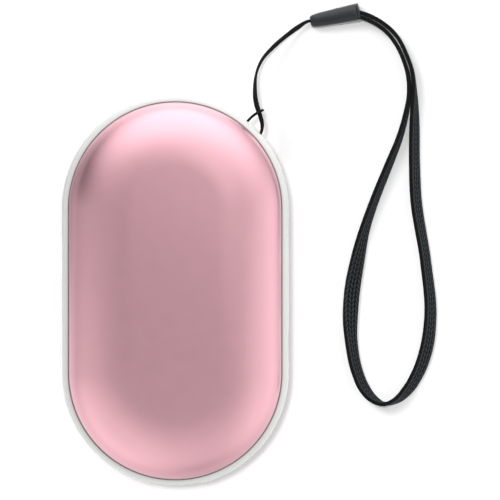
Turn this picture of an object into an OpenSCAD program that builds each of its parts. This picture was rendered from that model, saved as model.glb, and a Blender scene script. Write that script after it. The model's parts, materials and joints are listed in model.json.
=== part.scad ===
// Rechargeable hand warmer, lying on its back shell with its wrist strap laid out beside it.
// Two domed aluminium shells close a white frame of stadium outline. The body runs along Y, the
// front shell faces +Z, and the origin is under the middle of the body, on the table.

/* [Body] */
// Length of the body over the frame
body_len = 100; // [100:0.5:108]
// Width of the body over the frame
body_w = 58; // [58:0.5:62]
// Thickness from back shell to front shell
body_h = 25; // [25:0.5:28]
// Height of the frame band that shows between the two shells
band_h = 8; // [7.4:0.2:8.4]
// How far the frame stands out past the shells
rim_w = 1.6; // [1.4:0.1:1.6]
// Open seam between a shell's edge and the frame's lip
seam_gap = 0.2; // [0.1:0.05:0.3]

/* [Shells] */
// Wall of an aluminium shell
shell_t = 0.8; // [0.6:0.1:0.9]
// Width of the curved margin, from a shell's edge in to its flat middle
dome_run = 17; // [15:0.5:17]
// Power of the curve across that margin, higher is squarer
dome_power = 2.4; // [2.2:0.1:2.8]
// Heater film bonded inside each shell
film_t = 0.2; // [0.1:0.05:0.3]
// Foam pad behind each film
foam_t = 0.6; // [0.5:0.1:0.8]
// Wall of the plastic liner behind each pad
liner_t = 0.9; // [0.8:0.1:1]

/* [Cells] */
// Diameter of a cell in its wrap
cell_d = 18.2; // [17.8:0.1:18.2]
// Length of a cell over its terminals
cell_len = 65; // [64:0.5:65]
// Distance between the two cells' axes
cell_pitch = 18.6; // [18.4:0.1:18.8]

/* [Button] */
// Length of the power button's face
button_len = 10; // [8:0.5:11]
// Height of the power button's face
button_h = 4; // [3.4:0.2:4.2]
// Travel of the power button
button_travel = 0.4; // [0.3:0.05:0.5]
// Running clearance round the button
button_gap = 0.1; // [0.05:0.01:0.15]

/* [Strap] */
// Diameter of the strap's string
string_d = 0.7; // [0.5:0.05:0.7]
// Width of the wrist loop's webbing
webbing_w = 4; // [3.2:0.1:4]
// Thickness of the wrist loop's webbing
webbing_t = 1.05; // [0.7:0.05:1.05]

/* [Hidden] */
$fn = 64;
// Steps along a curved section
STEPS = 20;
// How far a cutting tool runs past what it cuts
OVER = 1;
// Smallest gap left between pieces that must not touch
AIR = 0.05;

// Body outline and levels
end_r = body_w / 2;
straight_half = (body_len - body_w) / 2;
mid_z = body_h / 2;
lip_r = end_r - rim_w;
shell_r = lip_r - seam_gap;
edge_z = mid_z + band_h / 2;
dome_rise = body_h - edge_z;
flat_r = shell_r - dome_run;
band_power = 2.6;
web_h = 6.2;
web_t = 2.8;
ledge_z = mid_z + web_h / 2;
web_r = lip_r - web_t;

// Depths of the layers under a shell's outer face
film_in = shell_t + film_t;
foam_in = film_in + foam_t;
liner_in = foam_in + liner_t;
// Steps of the curved margin that a film covers
film_steps = 8;
thermistor_y = 10;

// Cells
cell_r = cell_d / 2;
cell_end_y = 36;
cell_start_y = cell_end_y - cell_len;
cell_x = cell_pitch / 2;
terminal_r = 3.8;
terminal_h = 0.9;
strip_t = 0.15;
strip_h = 6;

// Circuit board, a U round the lower end of the cells
board_t = 1.2;
usb_c_h = 3.16;
board_top = mid_z - usb_c_h / 2;
board_bottom = board_top - board_t;
board_r = web_r - 0.4;
board_edge_y = cell_start_y - 1.6;
arm_in_x = cell_x + cell_r + 0.5;
left_arm_end_y = 16;
right_arm_end_y = -6;
lead_y = cell_start_y - 4.2;
lead_d = 0.9;
battery_lead_d = 1.2;

// USB-A socket, mouth towards -Y in the lower end
usb_a_w = 13.1;
usb_a_h = 5.7;
usb_a_len = 14;
usb_a_wall = 0.3;
usb_a_mouth_y = -body_len / 2 + 1;
usb_a_tongue_w = 11.1;
usb_a_tongue_h = 1.84;
usb_a_gap_over = 0.7;

// USB-C socket, mouth towards +X in the right side
usb_c_w = 8.94;
usb_c_len = 7.35;
usb_c_wall = 0.25;
usb_c_y = -14;
usb_c_mouth_x = end_r - 0.25;

// Power button and side switch in the left side
button_y = 8;
button_face_x = -end_r + 0.1;
button_step_x = -end_r + 2.5;
flange_t = 0.7;
flange_over = 0.6;
switch_len = 6;
switch_depth = 3.4;
switch_h = 3.4;
switch_x = -board_r;
stem_w = 3;
stem_h = 1.6;
stem_out = 1;
stem_in = 2.2;

// Indicator lights
led_pitch = 2.6;
led_y = -8;
led_count = 4;
pip_d = 1.2;
guide_x = button_step_x + 0.1;
guide_t = 1.9;

// Screws
case_screw_at = [[-9.5, 40.9], [9.5, 40.9], [-21.5, 20], [21.5, 20], [-10.5, -40.3], [10.5, -40.3]];
board_screw_at = [[-18, -34], [18, -34]];
boss_r = 2.45;
shank_r = 0.95;
head_r = 1.8;
head_h = 1.2;
case_seat_z = 6;
case_screw_len = 10;
board_screw_len = 5;

// Strap lug in the frame's upper right: two mouths and a channel behind the bar between them
lug_right = 41;
lug_left = 50.6;
lug_middle = (lug_right + lug_left) / 2;
lug_mouth_w = 1.7;
lug_mouth_h = 2.4;
lug_channel_r = end_r - 3;
lug_bar_inner_r = end_r - 1.4;
lug_bar_r = 1.5;

// The strap's routes are written for a lug at this place and height, and move with the lug
LUG_HOME = [20.218, 41.79, 12.5];

// String's centre line, x, y, z: sleeve, right mouth, behind the bar, left mouth, once round
// its own two strands, and back beside itself to the sleeve
STRING_ROUTE = [
    [36.8, 69.25, 1.15], [34.2, 69.2, 1.15], [31.55, 67.4, 1.6], [28.5, 65.2, 2.7],
    [25.45, 62.55, 4.15], [22.35, 59.25, 5.95], [20.8, 55.85, 7.75], [20.2, 51.9, 9.75],
    [20.45, 47.7, 11.6], [21.5, 44.65, 12.15], [22.05, 42.6, 12.1], [21.95, 40.6, 12.1],
    [20.4, 38.7, 12.1], [18.45, 39.95, 12.1], [17.1, 41.9, 12.1], [18.1, 42.95, 12.0],
    [19.7, 44.6, 11.5], [21.55, 45.8, 11.2], [22.2, 46.15, 11.6], [22.4, 46.2, 12.35],
    [22.25, 46.15, 13.1], [21.55, 45.85, 13.6], [19.7, 44.6, 13.25], [18.1, 42.95, 12.9],
    [17.1, 41.9, 12.9], [18.45, 39.95, 12.9], [20.4, 38.7, 12.9], [22.0, 40.55, 12.9],
    [22.4, 42.65, 12.9], [21.95, 44.8, 12.85], [21.05, 47.85, 12.4], [20.55, 51.9, 10.55],
    [20.8, 55.9, 8.55], [22.2, 59.35, 6.75], [25.15, 62.85, 4.95], [28.25, 65.55, 3.4],
    [31.25, 67.85, 2.4], [34.2, 69.3, 1.9], [36.8, 69.4, 1.9]
];

// Webbing's centre line, x, y, lift off the table, and lean: 90 stands on edge, 0 and 180 lie flat
LOOP_ROUTE = [
    [45.4, 70.6, 0.55, 90], [47.05, 70.3, 0.5, 90], [49.9, 69.25, 0.35, 90], [52.9, 67.5, 0.2, 92],
    [54.95, 65.6, 0.1, 92], [56.85, 62.9, 0, 92], [58.8, 58.55, 0, 92], [59.65, 55.55, 0, 93],
    [60.0, 52.4, 0, 94], [59.9, 49.4, 0, 95], [59.35, 46.15, 0, 98], [57.75, 40.0, 0, 103],
    [54.55, 31.8, 0, 110], [51.25, 23.6, 0, 113], [48.45, 15.4, 0, 121], [46.6, 7.35, 0, 145],
    [45.25, -0.8, 0, 165], [45.1, -13.1, 0, 132], [46.75, -21.25, 0, 126], [48.5, -25.2, 0, 124],
    [50.5, -27.6, 0, 113], [53.6, -29.1, 0, 92], [56.5, -28.25, 0, 76], [59.5, -25.55, 0, 58],
    [62.0, -21.6, 0, 50], [64.3, -15.3, 0, 44], [65.4, -7.0, 0, 50], [64.2, 7.45, 0, 57],
    [61.7, 23.75, 0, 55], [61.35, 31.9, 0, 57], [61.35, 44.2, 0, 64], [61.35, 48.3, 0, 73],
    [61.25, 52.45, 0, 84], [60.7, 56.55, 0, 88], [59.25, 60.7, 0, 89], [56.8, 65.35, 0.1, 88],
    [54.25, 67.95, 0.2, 88], [50.4, 70.3, 0.35, 90], [47.4, 71.4, 0.5, 90], [45.6, 71.75, 0.55, 90]
];

// Sleeve's outline stations: distance from the small end, half width, half height
sleeve_at = [34.6, 69.05];
sleeve_turn = 11.5;
sleeve_len = 12.9;
SLEEVE_STATIONS = [[0, 1.25, 1.2], [0.5, 1.55, 1.5], [2.7, 1.88, 1.8], [sleeve_len, 2.32, 2.5]];
sleeve_wall = 0.55;
sleeve_recess = 1;

// Point on a shell's face moved in by inset, angle 0 at the flat and 90 at the edge
function dome_point(inset, angle) =
    [flat_r + (dome_run - inset) * sin(angle),
     edge_z + (dome_rise - inset) * sqrt(1 - pow(sin(angle), dome_power))];

// Run of such points from the flat, STEPS of them to the edge
function dome_curve(inset, steps = STEPS) =
    [for (i = [0:steps]) dome_point(inset, 90 * i / STEPS)];

function reversed(list) = [for (i = [len(list) - 1 : -1 : 0]) list[i]];

// Half section of a patch between two insets that stops on the curved margin
function patch_half(outer, inner) = concat(
    [[0, body_h - outer]],
    dome_curve(outer, film_steps),
    reversed(dome_curve(inner, film_steps)),
    [[0, body_h - inner]]);

// Half section of a dish between two insets that runs down to the frame's ledge
function dish_half(outer, inner) = concat(
    [[0, body_h - outer]],
    dome_curve(outer),
    [[shell_r - outer, ledge_z], [shell_r - inner, ledge_z]],
    reversed(dome_curve(inner)),
    [[0, body_h - inner]]);

// Half section of everything inside a moved face, down to the middle plane
function core_half(inset) = concat(
    [[0, body_h - inset]],
    dome_curve(inset),
    [[shell_r - inset, mid_z], [0, mid_z]]);

// Point on the frame's rounded outer face, angle from -90 at its foot to 90 at its top
function band_point(angle) =
    [lip_r + rim_w * pow(cos(angle), 2 / band_power),
     mid_z + band_h / 2 * sign(angle) * pow(abs(sin(angle)), 2 / band_power)];

// Point in the plan of the upper end, r from that end's centre
function upper_end(r, angle) = [r * cos(angle), straight_half + r * sin(angle)];

// How far the strap moves with the lug
function strap_shift() = upper_end(end_r, lug_middle) - [LUG_HOME.x, LUG_HOME.y];

// String route at the lug's real place and height
function string_line() = [
    for (p = STRING_ROUTE) [each [p.x, p.y] + strap_shift(), p.z * mid_z / LUG_HOME.z]
];

// Solid that a half section, from axis to axis, makes round the stadium outline
module stadium_solid(half) {
    full = concat(half, [for (i = [len(half) - 2 : -1 : 1]) [-half[i].x, half[i].y]]);
    rotate([90, 0, 0])
        linear_extrude(2 * straight_half, center = true)
            polygon(full);
    stadium_ends(half);
}

// Ring that a section clear of the axis makes round the stadium outline
module stadium_ring(section) {
    for (side = [0, 1])
        mirror([side, 0, 0])
            rotate([90, 0, 0])
                linear_extrude(2 * straight_half, center = true)
                    polygon(section);
    stadium_ends(section);
}

// Both half turns of a section, at the ends of the stadium
module stadium_ends(section) {
    for (side = [0, 1])
        translate([0, (1 - 2 * side) * straight_half, 0])
            rotate_extrude(angle = 180, start = 180 * side)
                polygon(section);
}

// Flat stadium of radius r with the body's straight length
module stadium_plan(r) {
    square([2 * r, 2 * straight_half], center = true);
    for (side = [-1, 1])
        translate([0, side * straight_half])
            circle(r);
}

// Moves a front piece to the back of the body
module to_back() {
    translate([0, 0, body_h])
        mirror([0, 0, 1])
            children();
}

// Block given by its lowest and highest corners
module block(low, high) {
    translate(low)
        cube(high - low);
}

// Bar of pill section, length along Y and height along Z, from x = 0 towards +X
module pill_bar(length, height, depth) {
    rotate([90, 0, 90])
        linear_extrude(depth) {
            square([length - height, height], center = true);
            for (side = [-1, 1])
                translate([side * (length - height) / 2, 0])
                    circle(height / 2);
        }
}

// Round wire through a list of points, with a slightly larger ball at each bend
module wire(points, d) {
    for (i = [0 : len(points) - 2]) {
        run = points[i + 1] - points[i];
        translate(points[i])
            rotate([0, acos(run.z / norm(run)), atan2(run.y, run.x)])
                cylinder(d = d, h = norm(run));
    }
    for (i = [1 : len(points) - 2])
        translate(points[i])
            sphere(d = 1.2 * d);
}

// Screw with its head's seat at the origin and its shank towards +Z
module screw(length) {
    difference() {
        translate([0, 0, -head_h])
            cylinder(r = head_r, h = head_h);
        for (turn = [0, 90])
            rotate([0, 0, turn])
                block([-1.1, -0.25, -head_h - OVER], [1.1, 0.25, -head_h / 2]);
    }
    translate([0, 0, -head_h / 4])
        cylinder(r = shank_r, h = length + head_h / 4);
}

// Rings of points joined into one closed tube of triangles
module tube(rings) {
    sides = len(rings[0]);
    last = len(rings) - 1;
    walls = [
        for (i = [0 : last - 1])
            for (k = [0 : sides - 1])
                let (a = i * sides + k, b = i * sides + (k + 1) % sides)
                    each [[a, a + sides, b], [b, a + sides, b + sides]]
    ];
    caps = [
        for (k = [1 : sides - 2])
            each [[0, k, k + 1], [last * sides, last * sides + k + 1, last * sides + k]]
    ];
    polyhedron(points = [for (ring = rings) each ring], faces = concat(walls, caps));
}

function unit(v) = v / norm(v);

// Direction of travel at point i of a route
function heading(route, i) =
    unit(route[min(i + 1, len(route) - 1)] - route[max(i - 1, 0)]);

// Part of v square to a direction, as a unit vector
function square_to(v, direction) = unit(v - (v * direction) * direction);

// Rings of a round cord, whose first side is carried along the route without twisting
function cord_rings(route, d, sides) = [
    for (
        i = 0, up = square_to([0, 0, 1], heading(route, 0));
        i < len(route);
        i = i + 1, up = i < len(route) ? square_to(up, heading(route, i)) : up
    )
        let (across = cross(heading(route, i), up))
            [for (k = [0 : sides - 1])
                route[i] + d / 2 * (cos(360 * k / sides) * up + sin(360 * k / sides) * across)]
];

// Height of the webbing's middle when it leans and one edge is on the table
function seat_height(lean) = webbing_w / 2 * sin(lean) + webbing_t / 2 * abs(cos(lean));

// Rings of the webbing, an eight sided flat section that leans as the route says
function webbing_rings(route) =
    let (
        line = [for (p = route) [p[0], p[1], p[2] + seat_height(p[3])]],
        a = webbing_w / 2,
        b = webbing_t / 2,
        c = webbing_t / 4,
        section = [[a - c, b], [a, b - c], [a, c - b], [a - c, -b],
                   [c - a, -b], [-a, c - b], [-a, b - c], [c - a, b]]
    )
    [for (i = [0 : len(route) - 1])
        let (
            forward = heading(line, i),
            side = unit(cross([0, 0, 1], forward)),
            wide = square_to(cos(route[i][3]) * side + sin(route[i][3]) * [0, 0, 1], forward),
            thick = cross(wide, forward)
        )
            [for (p = section) line[i] + p.x * wide + p.y * thick]];

// Shells
module dish_shell() {
    stadium_solid(dish_half(0, shell_t));
}

module front_shell() {
    color([0.86, 0.66, 0.70]) dish_shell();
}

module back_shell() {
    color([0.86, 0.66, 0.70]) to_back() dish_shell();
}

// Frame
module frame_ring() {
    outer = [for (i = [-STEPS:STEPS]) band_point(90 * i / STEPS)];
    inner = [
        [lip_r, ledge_z], [web_r, ledge_z],
        [web_r, body_h - ledge_z], [lip_r, body_h - ledge_z]
    ];
    stadium_ring(concat(outer, inner));
}

module lug_bar() {
    translate(concat(upper_end(lug_bar_inner_r + 0.15, lug_middle), [mid_z - 3]))
        cylinder(r = lug_bar_r, h = 6);
}

module lug_cuts() {
    for (angle = [lug_right, lug_left])
        translate([0, straight_half, mid_z])
            rotate([0, 0, angle])
                translate([lug_channel_r, 0, 0])
                    rotate([90, 0, 0])
                        pill_bar(lug_mouth_h, lug_mouth_w, end_r);
    translate([0, straight_half, mid_z - lug_mouth_h / 2])
        rotate_extrude(angle = lug_left - lug_right, start = lug_right)
            translate([lug_channel_r, 0])
                square([lug_bar_inner_r - lug_channel_r, lug_mouth_h]);
}

module usb_a_cut() {
    block([-usb_a_w / 2 - 0.1, -body_len / 2 - OVER, mid_z - usb_a_h / 2 - 0.1],
          [usb_a_w / 2 + 0.1, -body_len / 2 + 6, mid_z + usb_a_h / 2 + 0.1]);
}

module usb_c_cut() {
    translate([web_r - OVER, usb_c_y, mid_z])
        pill_bar(usb_c_w + 0.26, usb_c_h + 0.26, end_r);
}

module button_cuts() {
    translate([-end_r - OVER, button_y, mid_z])
        pill_bar(button_len + 2 * button_gap, button_h + 2 * button_gap, end_r);
    translate([button_step_x, button_y, mid_z])
        pill_bar(button_len + 2 * (flange_over + button_gap + 0.1),
                 button_h + 2 * (flange_over + button_gap + 0.1), end_r - web_r);
}

module light_cuts() {
    for (i = [0 : led_count - 1])
        translate([-end_r - OVER, led_at(i), mid_z])
            rotate([0, 90, 0])
                cylinder(d = pip_d + 2 * AIR, h = end_r - web_r);
    block([button_step_x, led_y - 5.6, mid_z - 1.3], [-web_r + OVER, led_y + 5.6, mid_z + 1.3]);
}

module mid_frame() {
    color([0.90, 0.91, 0.90])
        difference() {
            union() {
                frame_ring();
                lug_bar();
            }
            lug_cuts();
            usb_a_cut();
            usb_c_cut();
            button_cuts();
            light_cuts();
        }
}

// Liners
module boss(at) {
    intersection() {
        translate([at.x, at.y, mid_z])
            cylinder(r = boss_r, h = body_h);
        stadium_solid(core_half(foam_in + 0.1));
    }
}

// Slot that a pair of heater leads comes through
module lead_slot() {
    block([0.8, -body_len / 2 + 11, mid_z + 4], [5.4, -body_len / 2 + 14, body_h]);
}

module front_liner() {
    color([0.20, 0.21, 0.22])
        difference() {
            union() {
                stadium_solid(dish_half(foam_in, liner_in));
                for (at = case_screw_at)
                    boss(at);
            }
            for (at = case_screw_at)
                translate([at.x, at.y, mid_z - OVER])
                    cylinder(r = shank_r + AIR, h = case_screw_len - case_seat_z + OVER + 0.5);
            lead_slot();
        }
}

module back_liner() {
    color([0.20, 0.21, 0.22])
        difference() {
            union() {
                to_back() stadium_solid(dish_half(foam_in, liner_in));
                for (at = case_screw_at)
                    to_back() boss(at);
                for (at = board_screw_at)
                    board_post(at);
            }
            for (at = case_screw_at)
                translate([at.x, at.y, -OVER]) {
                    cylinder(r = head_r + 0.15, h = case_seat_z + OVER);
                    cylinder(r = shank_r + 0.15, h = body_h);
                }
            for (at = board_screw_at)
                translate([at.x, at.y, board_bottom - board_screw_len])
                    cylinder(r = shank_r + AIR, h = board_screw_len + OVER);
            to_back() mirror([1, 0, 0]) lead_slot();
        }
}

// Post that carries the circuit board at a board screw
module board_post(at) {
    intersection() {
        translate([at.x, at.y, 0])
            cylinder(r = 2, h = board_bottom);
        to_back() stadium_solid(core_half(foam_in + 0.1));
    }
}

// Heater films, pads and thermistors
module heater_film() {
    stadium_solid(patch_half(shell_t, film_in));
}

module foam_pad() {
    difference() {
        stadium_solid(patch_half(film_in, foam_in));
        lead_slot();
        block([-1.8, thermistor_y - 1.4, mid_z], [1.8, thermistor_y + 1.4, body_h]);
    }
}

module thermistor() {
    block([-1.3, thermistor_y - 0.8, body_h - film_in - 0.5],
          [1.3, thermistor_y + 0.8, body_h - film_in]);
}

module heater_leads() {
    solder_y = -body_len / 2 + 12.5;
    for (x = [2, 4.2])
        wire([
            [x, solder_y, body_h - film_in - 0.9],
            [x, solder_y, body_h - 5],
            [x, lead_y, mid_z + 4],
            [x, lead_y, board_top]
        ], lead_d);
}

module front_heater_film() {
    color([0.80, 0.50, 0.16]) heater_film();
}

module back_heater_film() {
    color([0.80, 0.50, 0.16]) to_back() heater_film();
}

module front_foam_pad() {
    color([0.93, 0.93, 0.90]) foam_pad();
}

module back_foam_pad() {
    color([0.93, 0.93, 0.90]) to_back() mirror([1, 0, 0]) foam_pad();
}

module front_thermistor() {
    color([0.15, 0.15, 0.16]) thermistor();
}

module back_thermistor() {
    color([0.15, 0.15, 0.16]) to_back() thermistor();
}

module front_heater_leads() {
    color([0.80, 0.12, 0.10]) heater_leads();
}

module back_heater_leads() {
    solder_y = -body_len / 2 + 12.5;
    color([0.80, 0.12, 0.10])
        for (x = [-2, -4.2])
            wire([
                [x, solder_y, film_in + 0.9],
                [x, solder_y, 5],
                [x, lead_y, 7.5],
                [x, lead_y, board_bottom]
            ], lead_d);
}

// Cell along +Y from its positive terminal, with the groove of its rolled shoulder
module cell() {
    rotate([-90, 0, 0])
        rotate_extrude()
            polygon([
                [0, 0], [terminal_r, 0], [terminal_r, terminal_h], [cell_r - 1.4, terminal_h],
                [cell_r, terminal_h + 0.6], [cell_r, terminal_h + 2.6],
                [cell_r - 0.8, terminal_h + 3.2], [cell_r, terminal_h + 3.8],
                [cell_r, cell_len - 0.5], [cell_r - 0.5, cell_len], [0, cell_len]
            ]);
}

module cell_left() {
    color([0.20, 0.45, 0.62]) translate([-cell_x, cell_start_y, mid_z]) cell();
}

module cell_right() {
    color([0.20, 0.45, 0.62]) translate([cell_x, cell_start_y, mid_z]) cell();
}

// Space that the two cells need, a little larger than they are
module cell_space() {
    for (x = [-cell_x, cell_x])
        translate([x, cell_start_y, mid_z])
            rotate([-90, 0, 0])
                cylinder(r = cell_r + AIR, h = cell_len);
}

module cell_cradle() {
    floor_z = liner_in;
    rib = [[-10, floor_z], [10, floor_z], [16, floor_z + 0.6], [16.5, floor_z + 5],
           [-16.5, floor_z + 5], [-16, floor_z + 0.6]];
    color([0.26, 0.27, 0.28])
        difference() {
            union() {
                for (y = [-20, 0, 20])
                    translate([0, y + 1.25, 0])
                        rotate([90, 0, 0])
                            linear_extrude(2.5)
                                polygon(rib);
                block([-2, -20, floor_z], [2, 20, floor_z + 3]);
                for (x = [-16, 14])
                    block([x, -20, floor_z + 0.6], [x + 2, 20, floor_z + 1.9]);
            }
            cell_space();
        }
}

module cell_pads() {
    color([0.55, 0.56, 0.57])
        difference() {
            for (x = [-cell_x, cell_x])
                block([x - 3, -19, body_h - liner_in - 1.2], [x + 3, 19, body_h - liner_in - AIR]);
            cell_space();
        }
}

module nickel_strip(y) {
    block([-cell_x - 4, y, mid_z - strip_h / 2], [cell_x + 4, y + strip_t, mid_z + strip_h / 2]);
}

module positive_strip() {
    color([0.78, 0.77, 0.74]) nickel_strip(cell_start_y - strip_t);
}

module negative_strip() {
    color([0.78, 0.77, 0.74]) nickel_strip(cell_end_y);
}

module positive_lead() {
    y = cell_start_y - strip_t - battery_lead_d / 2;
    color([0.80, 0.12, 0.10])
        wire([
            [-4, y, mid_z + 3], [-4, y - 0.4, mid_z + 5.5],
            [-8, lead_y, mid_z + 4], [-8, lead_y, board_top]
        ], battery_lead_d);
}

module negative_lead() {
    valley_z = mid_z + 3.8;
    y = cell_end_y + strip_t + battery_lead_d / 2;
    color([0.10, 0.10, 0.11])
        wire([
            [0, y, mid_z + 1], [0, y, valley_z], [0, cell_start_y, valley_z],
            [-0.6, lead_y + 0.6, mid_z + 2],
            [-0.6, lead_y + 0.6, board_top]
        ], battery_lead_d);
}

// Board and what is soldered to it
module circuit_board() {
    color([0.05, 0.32, 0.20])
        translate([0, 0, board_bottom])
            linear_extrude(board_t)
                difference() {
                    intersection() {
                        stadium_plan(board_r);
                        union() {
                            translate([-end_r, -body_len])
                                square([body_w, body_len + board_edge_y]);
                            translate([-end_r, -body_len])
                                square([end_r - arm_in_x, body_len + left_arm_end_y]);
                            translate([arm_in_x, -body_len])
                                square([end_r - arm_in_x, body_len + right_arm_end_y]);
                        }
                    }
                    translate([-usb_a_w / 2 - 0.15, -body_len])
                        square([usb_a_w + 0.3, body_len + usb_a_mouth_y + usb_a_len + 0.3]);
                    for (at = case_screw_at)
                        translate(at)
                            circle(boss_r + 0.25);
                    for (at = board_screw_at)
                        translate(at)
                            circle(shank_r + 0.15);
                }
}

module chip(at, size) {
    translate([at.x, at.y, board_top])
        translate([-size.x / 2, -size.y / 2, 0])
            cube(size);
}

module controller_chip() {
    color([0.12, 0.12, 0.13]) chip([12.5, -34.3], [5, 5, 0.9]);
}

module power_inductor() {
    color([0.30, 0.30, 0.32])
        translate([-12.5, -34.4, board_top])
            difference() {
                translate([-3, -3, 0])
                    cube([6, 6, 3]);
                translate([0, 0, 2.6])
                    cylinder(r = 2.2, h = OVER);
            }
}

module power_mosfets() {
    color([0.14, 0.14, 0.15])
        for (at = [[21.5, -24], [-21.5, -24]])
            chip(at, [3.2, 3.2, 0.9]);
}

module board_capacitors() {
    color([0.62, 0.50, 0.38])
        for (at = [[7.6, -32.6], [7.6, -35.6], [-8.6, -35.8], [-8.6, -37.4], [20.8, -28.2], [-20.8, -28.2]])
            chip(at, [1.6, 0.8, 0.8]);
}

// USB-A socket: sheet metal box, moulded tongue and four contact strips
module usb_a_shell() {
    y0 = usb_a_mouth_y;
    color([0.76, 0.76, 0.78])
        difference() {
            block([-usb_a_w / 2, y0, mid_z - usb_a_h / 2],
                  [usb_a_w / 2, y0 + usb_a_len, mid_z + usb_a_h / 2]);
            block([-usb_a_w / 2 + usb_a_wall, y0 - OVER, mid_z - usb_a_h / 2 + usb_a_wall],
                  [usb_a_w / 2 - usb_a_wall, y0 + usb_a_len - usb_a_wall,
                   mid_z + usb_a_h / 2 - usb_a_wall]);
            for (x = [-3.6, 3.6])
                block([x - 1, y0 + 4, mid_z - usb_a_h], [x + 1, y0 + 9, mid_z + usb_a_h]);
        }
}

module usb_a_tongue() {
    y0 = usb_a_mouth_y;
    back_y = y0 + usb_a_len - usb_a_wall - AIR;
    half_w = usb_a_w / 2 - usb_a_wall - AIR;
    half_h = usb_a_h / 2 - usb_a_wall - AIR;
    tongue_top = mid_z + usb_a_h / 2 - usb_a_wall - usb_a_gap_over;
    color([0.93, 0.93, 0.91]) {
        block([-half_w, back_y - 3, mid_z - half_h], [half_w, back_y, mid_z + half_h]);
        block([-usb_a_tongue_w / 2, y0 + 1.6, tongue_top - usb_a_tongue_h],
              [usb_a_tongue_w / 2, back_y - 2, tongue_top]);
    }
}

module usb_a_contacts() {
    contact_top = mid_z + usb_a_h / 2 - usb_a_wall - usb_a_gap_over - usb_a_tongue_h;
    color([0.85, 0.68, 0.30])
        for (x = [-3.5, -1, 1, 3.5])
            block([x - 0.5, usb_a_mouth_y + 2.4, contact_top - 0.2],
                  [x + 0.5, usb_a_mouth_y + 10, contact_top]);
}

// USB-C socket: rolled metal shell and tongue
module usb_c_shell() {
    color([0.76, 0.76, 0.78])
        translate([usb_c_mouth_x - usb_c_len, usb_c_y, mid_z])
            difference() {
                pill_bar(usb_c_w, usb_c_h, usb_c_len);
                translate([usb_c_wall, 0, 0])
                    pill_bar(usb_c_w - 2 * usb_c_wall, usb_c_h - 2 * usb_c_wall, usb_c_len);
            }
}

module usb_c_tongue() {
    back_x = usb_c_mouth_x - usb_c_len + usb_c_wall;
    color([0.10, 0.10, 0.11])
        translate([back_x, usb_c_y, mid_z]) {
            pill_bar(usb_c_w - 2 * usb_c_wall - 2 * AIR, usb_c_h - 2 * usb_c_wall - 2 * AIR, 1.2);
            block([0, -3.35, -0.35], [usb_c_len - usb_c_wall - 0.9, 3.35, 0.35]);
        }
}

// Side switch, its stem and the button cap over it
module switch_body() {
    color([0.16, 0.16, 0.17])
        difference() {
            block([switch_x, button_y - switch_len / 2, board_top],
                  [switch_x + switch_depth, button_y + switch_len / 2, board_top + switch_h]);
            block([switch_x - OVER, button_y - stem_w / 2 - 0.1, mid_z - stem_h / 2 - 0.1],
                  [switch_x + stem_in + button_travel + 0.2, button_y + stem_w / 2 + 0.1,
                   mid_z + stem_h / 2 + 0.1]);
        }
}

module switch_stem() {
    color([0.75, 0.30, 0.12])
        block([switch_x - stem_out, button_y - stem_w / 2, mid_z - stem_h / 2],
              [switch_x + stem_in, button_y + stem_w / 2, mid_z + stem_h / 2]);
}

module power_button() {
    flange_x = button_step_x + AIR;
    edge = 0.3;
    color([0.88, 0.89, 0.88])
        union() {
            translate([button_face_x, button_y, mid_z])
                pill_bar(button_len - 2 * edge, button_h - 2 * edge, edge + AIR);
            translate([button_face_x + edge, button_y, mid_z])
                pill_bar(button_len, button_h, flange_x - button_face_x - edge + AIR);
            translate([flange_x, button_y, mid_z])
                pill_bar(button_len + 2 * flange_over, button_h + 2 * flange_over, flange_t);
            translate([flange_x, button_y, mid_z])
                rotate([0, 90, 0])
                    cylinder(r = 1.2, h = switch_x - stem_out - flange_x);
        }
}

// Lights and the clear guide that carries them to the side of the frame
function led_at(i) = led_y + (i - (led_count - 1) / 2) * led_pitch;

module indicator_leds() {
    color([0.95, 0.93, 0.80])
        for (i = [0 : led_count - 1])
            block([switch_x, led_at(i) - 0.8, board_top], [switch_x + 0.8, led_at(i) + 0.8, mid_z + 0.3]);
}

module led_light_guide() {
    color([0.92, 0.95, 0.97, 0.6])
        union() {
            block([guide_x, led_y - 5.4, mid_z - 1.1], [guide_x + guide_t, led_y + 5.4, mid_z + 1.1]);
            for (i = [0 : led_count - 1])
                translate([-end_r + AIR, led_at(i), mid_z])
                    rotate([0, 90, 0])
                        cylinder(d = pip_d, h = guide_x + end_r);
        }
}

// Screws
module board_screws() {
    color([0.60, 0.60, 0.62])
        for (at = board_screw_at)
            translate([at.x, at.y, board_top])
                mirror([0, 0, 1])
                    screw(board_screw_len);
}

module case_screws() {
    color([0.60, 0.60, 0.62])
        for (at = case_screw_at)
            translate([at.x, at.y, case_seat_z])
                screw(case_screw_len);
}

// Strap
module strap_string() {
    color([0.12, 0.13, 0.14]) tube(cord_rings(string_line(), string_d, 8));
}

// Thin slice of the sleeve at a station, its sizes less by wall
module sleeve_slice(station, wall) {
    translate([station[0], 0, station[2]])
        scale([1, station[1] - wall, station[2] - wall])
            rotate([0, 90, 0])
                cylinder(r = 1, h = 0.01, center = true, $fn = 32);
}

module sleeve_body() {
    hull()
        for (station = SLEEVE_STATIONS)
            sleeve_slice(station, 0);
}

module strap_sleeve() {
    color([0.21, 0.23, 0.25])
        translate(concat(sleeve_at + strap_shift(), [0]))
            rotate([0, 0, sleeve_turn])
                difference() {
                    sleeve_body();
                    hull()
                        for (x = [sleeve_len - sleeve_recess, sleeve_len + sleeve_recess])
                            sleeve_slice([x, 2.32, 2.5], sleeve_wall);
                }
}

module strap_loop() {
    color([0.11, 0.12, 0.13])
        translate(concat(strap_shift(), [0]))
            tube(webbing_rings(LOOP_ROUTE));
}

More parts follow.
